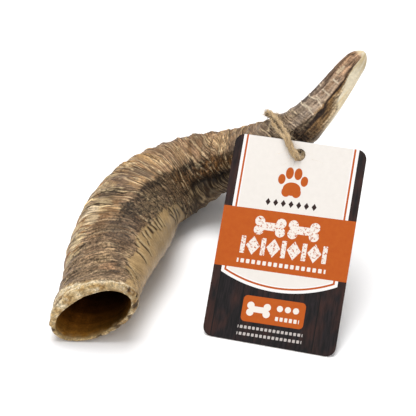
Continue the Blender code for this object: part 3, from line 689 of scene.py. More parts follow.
    tip_from = past_line(TIP_EDGE, share, angle) + 0.05 * spots(2.5, 18, 74)
    zone = ease(-tip_from, -0.02, 0.05) * tip * (1 - ivory) * ease(beyond(angle, -150), 0, 0.4)
    across = np.clip(-tip_from, 0, 2)
    tone = across / (across + np.clip(ivory_from, 0.02, 2)) + 0.4 * streaks + 0.2 * cloud
    tone += 0.02 - 0.22 * (1 - past(0.83, 0.91)) - 0.35 * ease(0.35 - across, 0.0, 0.3)
    on_tip = tip * (1 - ivory)
    brown = mix("#2c2018", "#86663f", ease(tone, 0.0, 0.4), "#cdb48e", ease(tone, 0.45, 0.85))
    tint = mix(tint, brown, 0.92 * zone)
    for colour, part in blotch(share, angle, TIP_PATCHES):
        tint = mix(tint, colour, part * on_tip)
    tint = darken(tint, on_tip * (0.5 * streaks + 0.08))
    long_line = crest(angle, length, 11, 26, 55, 5.0) * ease(spots(5, 16, 56), -0.25, 0.0)
    cross_line = ring_lines(1.7, 4, 57, 5.0) * ease(spots(3, 9, 58), -0.1, 0.2)
    height -= 0.1 * (cross_line + long_line) * on_tip
    # Towards the very end the ivory is darkened: painted shade that holds back the strong light on top of the
    # tip.
    ivory_shade = 0.08 * spots(24, 14, 28) + 0.05 * cloud - 0.26 * past(0.955, 0.985)
    amber = ease(spots(18, 24, 76) + 0.5 * spots(7, 44, 77), -0.3, 0.8)
    ivory_tint = darken(mix("#fff1d2", "#f0d49c", 0.75 * amber), ivory_shade)
    rim = bell(tip_from + 0.02 + 0.05 * streaks, 0.06) * past(0.885, 0.92)
    rim *= 1 - past(0.982, 0.987)
    ring = near_lines(share, angle, PALE_LINES, 0.0, 0.08) * ease(spots(1, 30, 75), -1.1, -0.3)
    height += 0.2 * ring
    edge_line = bell(tip_from - 0.05, 0.035) * tip * (1 - past(0.89, 0.91))
    tint = mix(tint, "#3a2a20", 0.75 * long_line * on_tip, "#4b392d", 0.65 * cross_line * on_tip,
               ivory_tint, ivory, "#3a281b", 0.8 * rim,
               mix("#d9bd92", "#e6d4b8", tip), (0.7 + 0.15 * tip) * ring, "#cdb592", 0.5 * edge_line)
    sink = np.interp(share, *zip(*RELIEF_SINK)) * ease(np.sin(angle), -0.75, -0.1)
    return height - sink, tint, ridged, scaly, along


def lip(depth, angle):
    """Knobbly worn edge of the mouth, by mm past the skin's end: relief, colour, and how far it reaches."""
    spots = partial(ripple, angle, depth)
    smooth = ease(np.cos(beyond(angle, 205)), 0.2, 0.8)
    knobs = spots(2.6, 30, 31) + (0.7 - 0.4 * smooth) * spots(1.2, 56, 32)
    swirl = crest(angle, depth, 2.2, 34, 33, 3.2) * ease(spots(3, 20, 35), -0.3, 0.2)
    shift = np.interp(np.degrees(angle % TAU), *np.array(LIP_SHIFT).T)
    edge = ease(depth - shift + 1.0 * spots(5, 14, 34) + 0.5 * knobs, *LIP_REACH)
    reach = ease(depth, -6.0 - knobs, -3.2) * (1 - edge)
    brown = 0.75 * ease(np.cos(beyond(angle, -15)), 0.1, 0.7)
    pale = (0.9 * swirl + 0.45 * knobs) * (1 - 0.45 * brown) * (1 - 0.4 * smooth)
    rise = bell(depth - shift - 0.3 - 0.6 * knobs, 0.8) * ease(np.cos(beyond(angle, 85)), 0.1, 0.6)
    outer_line = bell(depth - 0.2, 0.7) * ease(np.cos(beyond(angle, 220)), 0.1, 0.6)
    tint = mix("#c4a877", "#9f7840", np.clip((-1.1 * knobs + 0.05) * (1 - 0.6 * smooth), 0, 0.75),
               "#86663d", np.clip(brown * (0.6 - 0.6 * knobs), 0, 0.9), "#eadaba", np.clip(pale, 0, 0.85),
               "#eadabb", 0.7 * rise, "#5a4023", 0.6 * outer_line, "#b3915c", 0.5 * smooth)
    lump = 0.5 + 0.5 * ease(np.cos(beyond(angle, 95)), -0.2, 0.5)
    height = lump * (0.34 * knobs + 0.24 * swirl)
    for degrees, spread, middle, long in CREVICES:
        dip = np.exp(-(np.degrees(beyond(angle, degrees)) / spread)**2 - ((depth - middle) / long)**2)
        dip = ease(dip + 0.35 * spots(1.1, 60, 50), 0.25, 0.7)
        height -= 0.5 * dip
        tint = mix(tint, "#3a2412", 0.9 * dip)
    return height, tint, reach


def grid_faces(rows, columns, closed=False):
    """Corner numbers of the quads of a grid of rings; on a closed grid the last ring meets the first."""
    row, column = np.meshgrid(np.arange(rows if closed else rows - 1), np.arange(columns), indexing="ij")
    here, ahead = row * columns, (row + 1) % rows * columns
    beside = (column + 1) % columns
    return np.stack((here + column, here + beside, ahead + beside, ahead + column), -1).reshape(-1, 4)


def end_fans(rows, columns):
    """Corner numbers of triangles from the end rings of a grid to two points that follow the grid's own."""
    column = np.arange(columns)
    beside = (column + 1) % columns
    pole, last = rows * columns + 0 * column, (rows - 1) * columns
    return np.stack((pole, beside, column, pole + 1, last + column, last + beside), -1).reshape(-1, 3)


def make_mesh(name, points, quads, fans):
    """A mesh of points in mm with smooth faces."""
    mesh = bpy.data.meshes.new(name)
    mesh.from_pydata((points * MM).tolist(), [], quads.tolist() + fans.tolist())
    mesh.polygons.foreach_set("use_smooth", np.ones(len(mesh.polygons), bool))
    return mesh


def set_value(mesh, name, kind, values):
    """Writes one value, vector or colour to each point of a mesh."""
    field = {"FLOAT": "value", "FLOAT_VECTOR": "vector", "FLOAT_COLOR": "color"}[kind]
    mesh.attributes.new(name, kind, "POINT").data.foreach_set(field, np.ravel(values))


def with_poles(values):
    """The values of a grid point by point, then those of the two points that close its ends."""
    size = values.shape[2] if values.ndim == 3 else 1
    return np.concatenate((values.reshape(-1, size), values[[0, -1], 0].reshape(2, size)))


def place_piece(name, mesh, material, node):
    """Puts a finished mesh in the scene, riding on the one body and standing for a CAD node, if one is
    named."""
    piece = bpy.data.objects.new(name, mesh)
    bpy.context.scene.collection.objects.link(piece)
    mesh.materials.append(material)
    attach(piece, "root")
    if node:
        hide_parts(node)


def worn_of(add, ridged, scaly):
    """How far the skin is bark rather than bare keratin: the larger of how ridged and 1.1 times how scaly."""
    return add("Math.MAXIMUM", ridged, add("Math.MULTIPLY", scaly, 1.1))


def horn_material():
    """Raw sheep horn, dried and unpolished: matt bark with a scaly tooth over waxy, faintly shiny keratin."""
    material, shader, add = new_material("raw sheep horn, dried bark over keratin")
    place = add("TexCoord").outputs["Object"]
    tint = add("Attribute", attribute_name="tint").outputs["Color"]
    ridged, scaly = (add("Attribute", attribute_name=name).outputs["Fac"] for name in ("ridged", "scaly"))
    skin = add("Attribute", attribute_name="skin").outputs["Vector"]
    # The skin's own coordinates are mm round the horn, as two directions, and mm along it: growth lines are
    # a sine of the mm along, broken by noise, and the finest are noise, 7 mm long round and 0.75 mm along.
    lines = add("VectorMath.MULTIPLY", skin, (1 / 7, 1 / 7, 1 / 0.75))
    lines = add("TexNoise", lines, 1.0, 3.0, 0.55, 2.0, 0.3)
    flakes = add("TexNoise", place, 1 / (1.0 * MM), 3.0, 0.6, 2.0, 0.6)
    wobble = add("TexNoise", add("VectorMath.SCALE", skin, Scale=1 / 1.8), 1.0, 2.0)
    run = add("Math.MULTIPLY_ADD", wobble, 0.9, add("SeparateXYZ", skin).outputs[2])
    wave = add("Math.ABSOLUTE", add("Math.SINE", add("Math.MULTIPLY", run, pi / LINE_PITCH)))
    broken = add("TexNoise", add("VectorMath.MULTIPLY", skin, (1 / 6, 1 / 6, 1 / 2.1)), 1.0, 2.0, 0.6)
    depth = add("Math.MULTIPLY", add("MapRange", broken, 0.42, 0.54), ridged)
    # The dips of the growth lines are painted darker, as shade, and their crests brighter, as a painted
    # highlight; the dips also sink the bump.
    shaded_valley = add("Math.MULTIPLY", add("MapRange", wave, 0.08, 0.5, 1.0, 0.0), depth)
    painted_shine = add("Math.MULTIPLY", add("MapRange", wave, 0.8, 1.0), depth)
    lined = add("Math.MULTIPLY", add("Math.ADD", lines, -0.5), add("MapRange", ridged, 0.0, 1.0, 0.4, 4.0))
    tooth = worn_of(add, add("Math.MULTIPLY", ridged, 0.28), scaly)
    flaked = add("Math.MULTIPLY", add("Math.ADD", flakes, -0.5), add("MapRange", tooth, 0.0, 1.0, 0.8, 12.5))
    # Chips of the scaly bark: thin curly lines where a noise crosses its middle value.
    curl = add("Math.ADD", add("TexNoise", place, 1 / (1.9 * MM), 1.0, 0.5, 2.0, 1.2), -0.5)
    chips = add("Math.MULTIPLY", add("MapRange", add("Math.ABSOLUTE", curl), 0.0, 0.035, 1.0, 0.0), scaly)
    chips = add("Math.MULTIPLY", chips, add("MapRange", flakes, 0.45, 0.6))
    # The tint is multiplied by 2 to this power: random tone, pale chips, and the painted shade and highlight
    # of the growth lines.
    power = add("Math.ADD", lined, flaked)
    for part, strength in ((shaded_valley, -1.7), (painted_shine, 0.75), (chips, 1.5)):
        power = add("Math.MULTIPLY_ADD", part, strength, power)
    bright = add("Math.POWER", 2.0, add("Math.SMOOTH_MIN", power, 0.75, 0.5))
    rise = add("Math.ADD", lines, add("Math.MULTIPLY", flakes, scaly))
    for part, strength in ((shaded_valley, -0.35), (chips, 0.25)):
        rise = add("Math.MULTIPLY_ADD", part, strength, rise)
    worn = worn_of(add, ridged, scaly)
    bump = add("Bump", Height=rise, Strength=add("MapRange", worn, 0.0, 0.8, 0.1, 0.9), Distance=0.0006)
    plug(shader, Base_Color=add("VectorMath.SCALE", tint, Scale=bright), Normal=bump, IOR=1.54,
         Roughness=add("MapRange", worn, 0.0, 0.6, 0.36, 0.5), Specular_IOR_Level=0.14)
    return material


def make_horn():
    """The horn as one grid of rings: up the hollow, over the lip, and along the outside to the tip.

    The lip is half an ellipse from skin to hollow, standing forward of the cut. Everything then moves out
    by the fine relief, and what would sink into the floor is worn flat on it."""
    angle = (np.arange(AROUND) / AROUND * TAU - pi / 2)[None]
    rounded = TIP_ROUNDING + (1 - TIP_ROUNDING) * np.array(ROUNDED_ROWS)
    shares = np.concatenate((np.linspace(0, TIP_ROUNDING, OUTER_ROWS), rounded))
    share = shares[:, None]
    length = share * HORN_LENGTH
    height, tint, ridged, scaly, along = bark(share, angle)
    lip_height, lip_tint, worn = lip(length, angle)
    height = height * (1 - worn) + lip_height * worn
    tint = mix(tint, lip_tint, worn)
    ridged = ridged * (1 - worn)
    scaly = scaly * (1 - worn) + 0.3 * worn
    slim = np.minimum(1, horn_axis(shares)[1] / 5)[:, None]
    outer = horn_skin(share, angle, height * slim)

    deep = HOLLOW_END * np.linspace(0, 0.995, HOLLOW_ROWS)[:, None]**1.2
    depth = deep * HORN_LENGTH
    spots = partial(ripple, angle, depth)
    growth = 0.12 * np.sin(depth / 1.1 + 2 * spots(9, 5, 41)) + 0.25 * spots(6, 12, 42)
    lip_height, lip_tint, worn = lip(-LIP_ARC - depth, angle)
    inner = hollow_skin(deep, angle, growth - 0.1 * lip_height * worn)
    # The hollow's colour: amber that darkens deeper in as painted shade, times painted light that is
    # brightest on the lower left wall and in a strip on the right, times rings of growth.
    amber = by_share(HOLLOW_SHADED_TINTS, deep)
    hollow_painted_light = 0.17 + 0.82 * np.clip(np.cos(beyond(angle, 202)), 0, 1)**1.4
    hollow_painted_light = hollow_painted_light + 0.3 * bell(beyond(angle, -12), 0.5)
    rays = 1 + 0.3 * spots(26, 26, 44) + 0.24 * np.sin(depth / 0.7 + 3 * spots(8, 6, 45))
    amber = amber * (hollow_painted_light * rays)[..., None]
    inner_tint = mix(amber, lip_tint, worn)

    swing = (np.arange(1, LIP_ROWS + 1) / (LIP_ROWS + 1))[:, None] * pi
    half = (outer[:1] - inner[:1]) / 2
    middle = (outer[:1] + inner[:1]) / 2
    forward = -unit(middle_at(0.01) - middle_at(0.0))
    lip_height, lip_tint, worn = lip(-LIP_ARC * swing / pi, angle)
    bulge = LIP_FORWARD + 0.35 * lip_height
    outward = np.clip(0.1 + 0.9 * np.cos(swing), 0.1, 1)
    spread = unit(half) * (lip_height * worn * outward)[..., None] * abs(np.cos(swing))[..., None]
    arc = middle + half * np.cos(swing)[..., None] + spread * np.sign(np.cos(swing))[..., None]
    arc = arc + forward * (bulge * np.sin(swing))[..., None]

    grid = np.concatenate((inner[::-1], arc[::-1], outer))
    tints = np.concatenate((inner_tint[::-1], lip_tint[::-1], tint))
    plain = np.zeros(inner.shape[:2])
    ridges = np.concatenate((plain + 0.1, np.zeros(arc.shape[:2]), ridged))
    scales = np.concatenate((plain + 0.1, np.full(arc.shape[:2], 0.3), scaly))
    lengths = np.concatenate((-depth[::-1] + 0 * angle, -swing[::-1] + 0 * angle, along))
    circle = [SKIN_RADIUS * reach(angle) + 0 * lengths for reach in (np.cos, np.sin)]
    skin = np.stack((*circle, lengths), -1)
    rows = len(grid)
    points = np.concatenate((grid.reshape(-1, 3), grid[:1].mean(axis=1), middle_at(1.0)[None]))
    points[:, 2] = np.maximum(points[:, 2], FLOOR_GAP)
    mesh = make_mesh("horn skin", points, grid_faces(rows, AROUND), end_fans(rows, AROUND))
    tints = np.clip(TINT_DEPTH * with_poles(tints), 0, 1)
    set_value(mesh, "tint", "FLOAT_COLOR", np.insert(tints, 3, 1, axis=1))
    set_value(mesh, "ridged", "FLOAT", with_poles(ridges))
    set_value(mesh, "scaly", "FLOAT", with_poles(scales))
    set_value(mesh, "skin", "FLOAT_VECTOR", with_poles(skin))
    place_piece("horn_grown", mesh, horn_material(), "horn")


def card_matrix():
    """Place of the card as in the part: x along its lower edge, y up the card, z out of its face."""
    along = Vector((cos(TAG_YAW), sin(TAG_YAW), 0))
    back = Vector((-along.y, along.x, 0))
    upward = back * sin(TAG_LEAN) + Vector((0, 0, 1)) * cos(TAG_LEAN)
    face = along.cross(upward)
    foot = Vector((*TAG_FOOT, TAG_THICKNESS / 2 * abs(face.z))) * MM
    return Matrix.Translation(foot) @ Matrix((along, upward, face)).transposed().to_4x4()


def ellipse(add, place, middle, half):
    """1 inside an ellipse on the card: the place less its middle, over the half axes, is shorter than one."""
    moved = add("VectorMath.SUBTRACT", place, (*middle, 0))
    reach = add("VectorMath.LENGTH", add("VectorMath.MULTIPLY", moved, (1 / half[0], 1 / half[1], 0)))
    return add("Math.LESS_THAN", reach.outputs["Value"], 1.0)


def panel(add, place, middle, half, corner):
    """1 inside a box with round corners: the place passes the inner box by less than the corner."""
    size = add("VectorMath.ABSOLUTE", add("VectorMath.SUBTRACT", place, (*middle, 0)))
    past = add("VectorMath.SUBTRACT", size, (half[0] - corner, half[1] - corner, 99))
    reach = add("VectorMath.LENGTH", add("VectorMath.MAXIMUM", past, (0, 0, 0)))
    return add("Math.LESS_THAN", reach.outputs["Value"], corner)


def diamond(add, place, middle, half):
    """1 inside a diamond: the sizes across and up, each over its half, add up to less than one."""
    size = add("VectorMath.ABSOLUTE", add("VectorMath.SUBTRACT", place, (*middle, 0)))
    total = add("VectorMath.DOT_PRODUCT", size, (1 / half[0], 1 / half[1], 0))
    return add("Math.LESS_THAN", total.outputs["Value"], 1.0)


def together(add, masks):
    """1 where any of the masks is."""
    return reduce(partial(add, "Math.MAXIMUM"), masks)


def bone(add, place, middle, half, knob):
    """A bone: a bar with two round knobs at each end."""
    x, y = middle
    reach, rise = half[0] - knob, half[1] - knob
    knobs = [ellipse(add, place, (x + side * reach, y + level * rise), (knob, knob))
             for side in (-1, 1) for level in (-1, 1)]
    return together(add, [panel(add, place, middle, (reach, half[1] * 0.42), 0.2), *knobs])


def paw(add, place, middle, size):
    """A paw print: one broad pad with two lobes, and four toes round it."""
    x, y = middle
    marks = ((0, -2.4, 3.3, 2.5), (-1.9, -3.6, 1.7, 1.9), (1.9, -3.6, 1.7, 1.9), (-4.2, 0.9, 1.35, 1.9),
             (-1.6, 3.4, 1.45, 2.2), (1.6, 3.4, 1.45, 2.2), (4.2, 0.9, 1.35, 1.9))
    return together(add, [ellipse(add, place, (x + size * i, y + size * j), (size * a, size * b))
                          for i, j, a, b in marks])


def row_of(add, place, shape, level, half, corner, pitch, window, shift=0.0, centre=0.0):
    """A shape repeated every pitch mm at a level of the card, shown inside a window: the place's x, plus a
    shift, is folded into one pitch."""
    axes = add("SeparateXYZ", add("VectorMath.ADD", place, (shift, 0, 0))).outputs
    folded = add("CombineXYZ", add("Math.WRAP", axes[0], pitch / 2, -pitch / 2), axes[1])
    shapes = shape(add, folded, (0, level), half, *corner)
    return add("Math.MULTIPLY", shapes, panel(add, place, (centre, level), window, SQUARE))


def card_material():
    """Bleached solid board, litho printed and matt varnished: flat ink with crisp edges, a print of dark
    boards, cream panels with a faint tooth, and the white core at the cut edges."""
    material, shader, add = new_material("printed board, matt varnish")
    matrix = card_matrix()
    place = add("TexCoord").outputs["Object"]
    card = add("Mapping", place, matrix.translation, matrix.to_euler(), (MM, MM, MM), vector_type="TEXTURE")
    x, y, z = add("SeparateXYZ", card).outputs
    # From here on y is measured up from the upper edge, and the print is a little askew on the card.
    drop = add("Math.ADD", add("Math.MULTIPLY_ADD", x, -PRINT_SKEW, y), -TAG_HEIGHT)
    flat = add("CombineXYZ", x, drop)

    boards = add("Math.MULTIPLY_ADD", x, 1 / BOARD_WIDTH, BOARD_START)
    board_tone = add("TexWhiteNoise", add("Math.FLOOR", boards), noise_dimensions="1D").outputs["Value"]
    gap = add("Math.LESS_THAN", add("Math.FRACT", boards), BOARD_GAP)
    streak = add("TexNoise", add("VectorMath.MULTIPLY", flat, (1 / 0.8, 1 / 9, 1)), 1.0, 4.0, 0.6, 2.0, 1.0)
    broad = add("TexNoise", add("VectorMath.MULTIPLY", flat, (1 / 5, 1 / 12, 1)), 1.0, 3.0)
    wood = add("Mix.RGBA", add("MapRange", streak, 0.38, 0.62), "#0a0808", "#20191b")
    warm = add("Math.ADD", broad, add("MapRange", board_tone, 0.0, 1.0, -0.12, 0.12))
    warm = add("Math.MULTIPLY", add("MapRange", warm, 0.42, 0.68), streak)
    wood = add("Mix.RGBA", add("MapRange", warm, 0.0, 0.6), wood, "#38201a")
    wood = add("Mix.RGBA", gap, wood, "#070606")

    # Distance in from the shield's edge: from its straight sides, and from the arc that closes it below.
    side = add("Math.SUBTRACT", SHIELD_HALF, add("Math.ABSOLUTE", x))
    arc = add("VectorMath.DISTANCE", flat, (0, SHIELD_RADIUS - SHIELD_LOW, 0)).outputs["Value"]
    arc = add("Math.SUBTRACT", SHIELD_RADIUS, arc)
    arc = add("Mix.FLOAT", add("Math.GREATER_THAN", drop, -BAND_TOP), arc, 9.0)
    edge = add("Math.MINIMUM", side, arc)
    paper_tone = add("MapRange", add("TexNoise", flat, 1 / 2.2, 4.0, 0.6), 0.3, 0.7)
    paper = add("Mix.RGBA", paper_tone, "#dad4cd", "#ded8d1")
    orange = add("Mix.RGBA", paper_tone, "#ac4c0e", "#b25413")
    ink = wood
    for inset, colour in ((0.0, "#e6e3e0"), (1.2, orange), (2.0, "#e6e3e0"), (2.5, paper)):
        ink = add("Mix.RGBA", add("Math.GREATER_THAN", edge, inset), ink, colour)

    band = panel(add, flat, (0, -(BAND_TOP + BAND_LOW) / 2), (40, (BAND_LOW - BAND_TOP) / 2), SQUARE)
    badge = panel(add, flat, (0.1, -71.0), (12.9, 5.35), 1.8)
    ink = add("Mix.RGBA", together(add, [band, badge, paw(add, flat, (-0.8, -17.4), 1.12)]), ink, orange)
    small = row_of(add, flat, diamond, -26.4, (1.05, 1.5), (), 3.2, (11.2, 1.6))
    ink = add("Mix.RGBA", small, ink, "#2b1a17")

    pattern = (row_of(add, flat, bone, -36.6, (6.5, 3.9), (2.05,), 14.0, (14, 4.2), 7.0),
               row_of(add, flat, diamond, -45.2, (2.9, 3.9), (), 8.5, (17.9, 4.0), 4.25),
               row_of(add, flat, panel, -45.2, (0.95, 3.6), (0.3,), 8.5, (17.9, 4.0)))
    unworn = add("Math.GREATER_THAN", add("TexNoise", flat, 1 / 1.1, 5.0, 0.75), 0.44)
    prints = [add("Math.MULTIPLY", together(add, pattern), unworn),
              row_of(add, flat, panel, -51.9, (0.72, 0.85), (0.25,), 2.3, (18.4, 1.0)),
              row_of(add, flat, panel, -73.6, (0.62, 0.8), (0.2,), 1.9, (5.2, 1.0), 0.0, 5.9),
              bone(add, flat, (-6.0, -71.0), (4.9, 2.9), 1.5)]
    prints += [ellipse(add, flat, (2.6 + 3.3 * i, -69.4), (1.25, 1.25)) for i in range(3)]
    ink = add("Mix.RGBA", together(add, prints), ink, "#e0d8cf")
    ticks = [row_of(add, flat, panel, level, (0.55, 0.6), (0.2,), 1.7, (13.4, 1.0))
             for level in (-78.7, -81.5)]
    ink = add("Mix.RGBA", together(add, ticks), ink, "#b5ada8")

    front = add("Math.GREATER_THAN", z, TAG_THICKNESS / 2 - FACE_DEPTH)
    rear = add("Math.LESS_THAN", z, FACE_DEPTH - TAG_THICKNESS / 2)
    back = add("Mix.RGBA", panel(add, card, (0, TAG_HEIGHT / 2 - 6), (22, 32), 2.5), wood, paper)
    core = add("Mix.RGBA", add("TexNoise", card, 1 / 0.25, 3.0), "#d9d4ce", "#f2efeb")
    colour = add("Mix.RGBA", rear, add("Mix.RGBA", front, core, ink), back)
    tooth = add("TexNoise", card, 1 / 0.35, 3.0, 0.6)
    bump = add("Bump", Height=tooth, Strength=0.08, Distance=0.0001)
    plug(shader, Base_Color=colour, Normal=bump, Roughness=add("MapRange", tooth, 0.0, 1.0, 0.42, 0.58),
         IOR=1.47, Specular_IOR_Level=0.2)
    return material


def dress_card():
    """The card's own solid is right, so it only gets its printed finish."""
    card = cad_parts["tag"]
    card.data.materials.clear()
    card.data.materials.append(card_material())


def on_horn(share, degrees, lift):
    """Place that stands lift mm off the horn's broad skin."""
    point = horn_skin(np.array([[share]]), np.array([[radians(degrees)]]), np.array([[lift]]))
    return tuple(point[0, 0])


def on_card(x, y, out):
    """Place from card coordinates in mm: along, above the hole's middle, and out of the face."""
    return tuple(card_matrix() @ (Vector((x, TAG_HEIGHT - TAG_HOLE_DROP + y, out)) * MM) / MM)


def smooth_path(points, closed, step):
    """Catmull-Rom curve through the points, read again at even steps of its length: each point's tangent is
    half the way between its neighbours."""
    points = np.array(points, float)
    if closed:
        ring = np.concatenate((points[-1:], points, points[:2]))
    else:
        ring = np.concatenate((2 * points[:1] - points[1:2], points, 2 * points[-1:] - points[-2:-1]))
    part = np.linspace(0, 1, CURVE_READS, endpoint=False)[None, :, None]
    a, b, c, d = (ring[i:len(ring) - 3 + i, None] for i in range(4))
    curve = b + 0.5 * part * (c - a + part * (2 * a - 5 * b + 4 * c - d + part * (3 * (b - c) + d - a)))
    curve = np.concatenate((curve.reshape(-1, 3), ring[-2][None]))
    run = np.concatenate(((0,), np.cumsum(np.linalg.norm(np.diff(curve, axis=0), axis=1))))
    count = max(4, int(run[-1] / step))
    at = np.linspace(0, run[-1], count + 1)
    even = np.stack([np.interp(at, run, curve[:, i]) for i in range(3)], -1)
    return (even[:-1] if closed else even), run[-1]


def carry_frame(path, closed):
    """Two directions square to a path, carried along it without turning about it. On a closed path what is
    left over at the end is spread evenly along it."""
    if closed:
        tangent = unit(np.roll(path, -1, 0) - np.roll(path, 1, 0))
    else:
        tangent = unit(np.gradient(path, axis=0))
    across = np.zeros_like(path)
    start = np.cross(tangent[0], (0.3, 0.5, 0.8))
    across[0] = start / np.linalg.norm(start)
    for i in range(1, len(path)):
        moved = across[i - 1] - tangent[i] * (across[i - 1] @ tangent[i])
        across[i] = moved / np.linalg.norm(moved)
    above = np.cross(tangent, across)
    if closed:
        back = across[-1] - tangent[0] * (across[-1] @ tangent[0])
        left = atan2(back @ above[0], back @ across[0])
        turn = -left * np.arange(len(path))[:, None] / len(path)
        turned = across * np.cos(turn) + above * np.sin(turn)
        above = above * np.cos(turn) - across * np.sin(turn)
        across = turned
    return across, above


def ply(path, closed, length, phase, seed):
    """One yarn of the twine as a grid of rings: it winds round the path like a screw, once every LAY mm, and
    its round section swells and thins with slow noise and has five soft ribs of fibre."""
    across, above = carry_frame(path, closed)
    rows = len(path)
    turns = max(1, round(length / LAY))
    run = np.arange(rows) / (rows if closed else rows - 1)
    twist = phase + TAU * turns * run
    centre = path + PLY_OFFSET * (across * np.cos(twist)[:, None] + above * np.sin(twist)[:, None])
    side, up = carry_frame(centre, closed)
    around = np.arange(PLY_SIDES) / PLY_SIDES * TAU
    fibre = around[None] + 1.2 * twist[:, None]
    radius = PLY / 2 * (1 + 0.1 * ripple(0, run * length, 2.5, 5, seed)[:, None] + 0.05 * np.sin(5 * fibre))
    grid = centre[:, None] + radius[..., None] * (
        side[:, None] * np.cos(around)[None, :, None] + up[:, None] * np.sin(around)[None, :, None])
    along = (run * length)[:, None] / 1.6 + seed + 0 * fibre
    pattern = np.stack((3 * np.cos(fibre), 3 * np.sin(fibre), along), -1)
    return grid, pattern


def join_tubes(name, tubes):
    """One mesh of several grids of rings, each closed into a loop or by a fan at either end."""
    points, patterns, quads, fans, start = [], [], [], [], 0
    for grid, pattern, closed in tubes:
        rows, sides = grid.shape[:2]
        points.append(grid.reshape(-1, 3))
        patterns.append(pattern.reshape(-1, 3))
        quads.append(grid_faces(rows, sides, closed) + start)
        if not closed:
            points.append(grid[[0, -1]].mean(1))
            patterns.append(pattern[[0, -1], 0])
            fans.append(end_fans(rows, sides) + start)
        start = sum(len(part) for part in points)
    mesh = make_mesh(name, *(np.concatenate(parts) for parts in (points, quads, fans)))
    set_value(mesh, "fibre", "FLOAT_VECTOR", np.concatenate(patterns))
    return mesh


def twine_material(name, light, dark):
    """Spun jute, unbleached: dry, straw-coloured, with paler and darker fibres along each yarn's twist."""
    material, shader, add = new_material(name)
    fibre = add("Attribute", attribute_name="fibre").outputs["Vector"]
    streak = add("TexNoise", add("VectorMath.MULTIPLY", fibre, (1.9, 1.9, 0.22)), 1.6, 4.0, 0.7)
    colour = add("Mix.RGBA", add("MapRange", streak, 0.38, 0.62), dark, light)
    shade = add("MapRange", add("TexNoise", fibre, 0.5, 2.0, 0.5), 0.3, 0.7, 0.86, 1.1)
    plug(shader, Base_Color=add("VectorMath.SCALE", colour, Scale=shade), Roughness=0.88, Sheen_Weight=0.25,
         Normal=add("Bump", Height=streak, Strength=0.7, Distance=0.0002))
    return material


def tie_routes():
    """The two strands of the tie, side by side: out of the card's hole, over its upper edge, over the horn,
    down behind it and back below to the hole. One lies close, the other is slack and arches over the first.
    Each is given as places on the card, places on the horn and one more behind the card."""
    close = (
        ((0.2, -1.3, -1.9), (-0.4, -1.9, -0.4), (-1.5, -1.5, 1.3), (-3, 0.3, 1.6), (-4.7, 2.5, 1.6),
         (-6.9, 5.9, 1.7)),
        ((0.79, 44, 1.3), (0.785, 62, 1.2), (0.781, 78, 1.2), (0.773, 98, 1.2), (0.765, 122, 1.2),
         (0.76, 148, 1.2), (0.759, 176, 1.2), (0.762, 205, 1.2), (0.77, 232, 1.2), (0.782, 258, 1.3),
         (0.79, 284, 1.6)),
        (-0.4, -1.6, -6.2))
    slack = (
        ((1.35, -0.3, -2.2), (1, -1.2, -0.4), (0, -1, 1.4), (-1.8, 0.9, 1.8), (-3.5, 2.8, 1.7),
         (-5.7, 6.8, 1.8)),
        ((0.801, 44, 1.4), (0.798, 60, 1.8), (0.792, 75, 2.9), (0.781, 87, 3.9), (0.767, 94, 3.7),
         (0.756, 101, 2.4), (0.75, 113, 1.3), (0.748, 130, 1.2), (0.749, 150, 1.2), (0.75, 176, 1.2),
         (0.753, 205, 1.2), (0.761, 232, 1.2), (0.773, 258, 1.3), (0.781, 284, 1.6)),
        (0.8, 1.3, -4.7))
    return [[*(on_card(*place) for place in card), *(on_horn(*place) for place in horn), on_card(*end)]
            for card, horn, end in (close, slack)]


def knot_routes():
    """A trefoil knot behind the horn, and the two tails that come out of it."""
    middle = np.array(on_horn(0.755, 166, 2.3))
    outward = unit(middle - middle_at(0.755))
    along = unit(middle_at(0.76) - middle_at(0.75))
    round_horn = np.cross(outward, along)
    turn = np.linspace(0, TAU, 36, endpoint=False)[:, None]
    knot = middle + along * (np.sin(turn) + 2 * np.sin(2 * turn))
    knot = knot + round_horn * (np.cos(turn) - 2 * np.cos(2 * turn)) - outward * np.sin(3 * turn) * 0.9
    tail_up = [middle, on_horn(0.772, 178, 3.0), on_horn(0.785, 184, 2.0), on_horn(0.797, 196, 1.6)]
    tail_down = [middle, on_horn(0.738, 178, 3.0), on_horn(0.725, 188, 2.0), on_horn(0.716, 202, 1.3)]
    return knot, tail_up, tail_down


def make_twine():
    """Two-ply jute: each strand of the tie, the knot and the tails are pairs of yarns wound round each other.
    Returns the path of each, and whether it is closed, for the loose fibres."""
    knot, *tails = knot_routes()
    routes = [(route, True) for route in (*tie_routes(), knot)] + [(tail, False) for tail in tails]
    tubes, paths = [], []
    for number, (route, closed) in enumerate(routes):
        path, length = smooth_path(route, closed, PLY_STEP)
        paths.append((path, closed))
        for half_turn in (0, 1):
            tubes.append((*ply(path, closed, length, half_turn * pi, 60 + 2 * number + half_turn), closed))
    material = twine_material("spun jute twine", "#dcc194", "#7d5c34")
    place_piece("twine_strands", join_tubes("twine strands", tubes), material, "twine")
    return paths


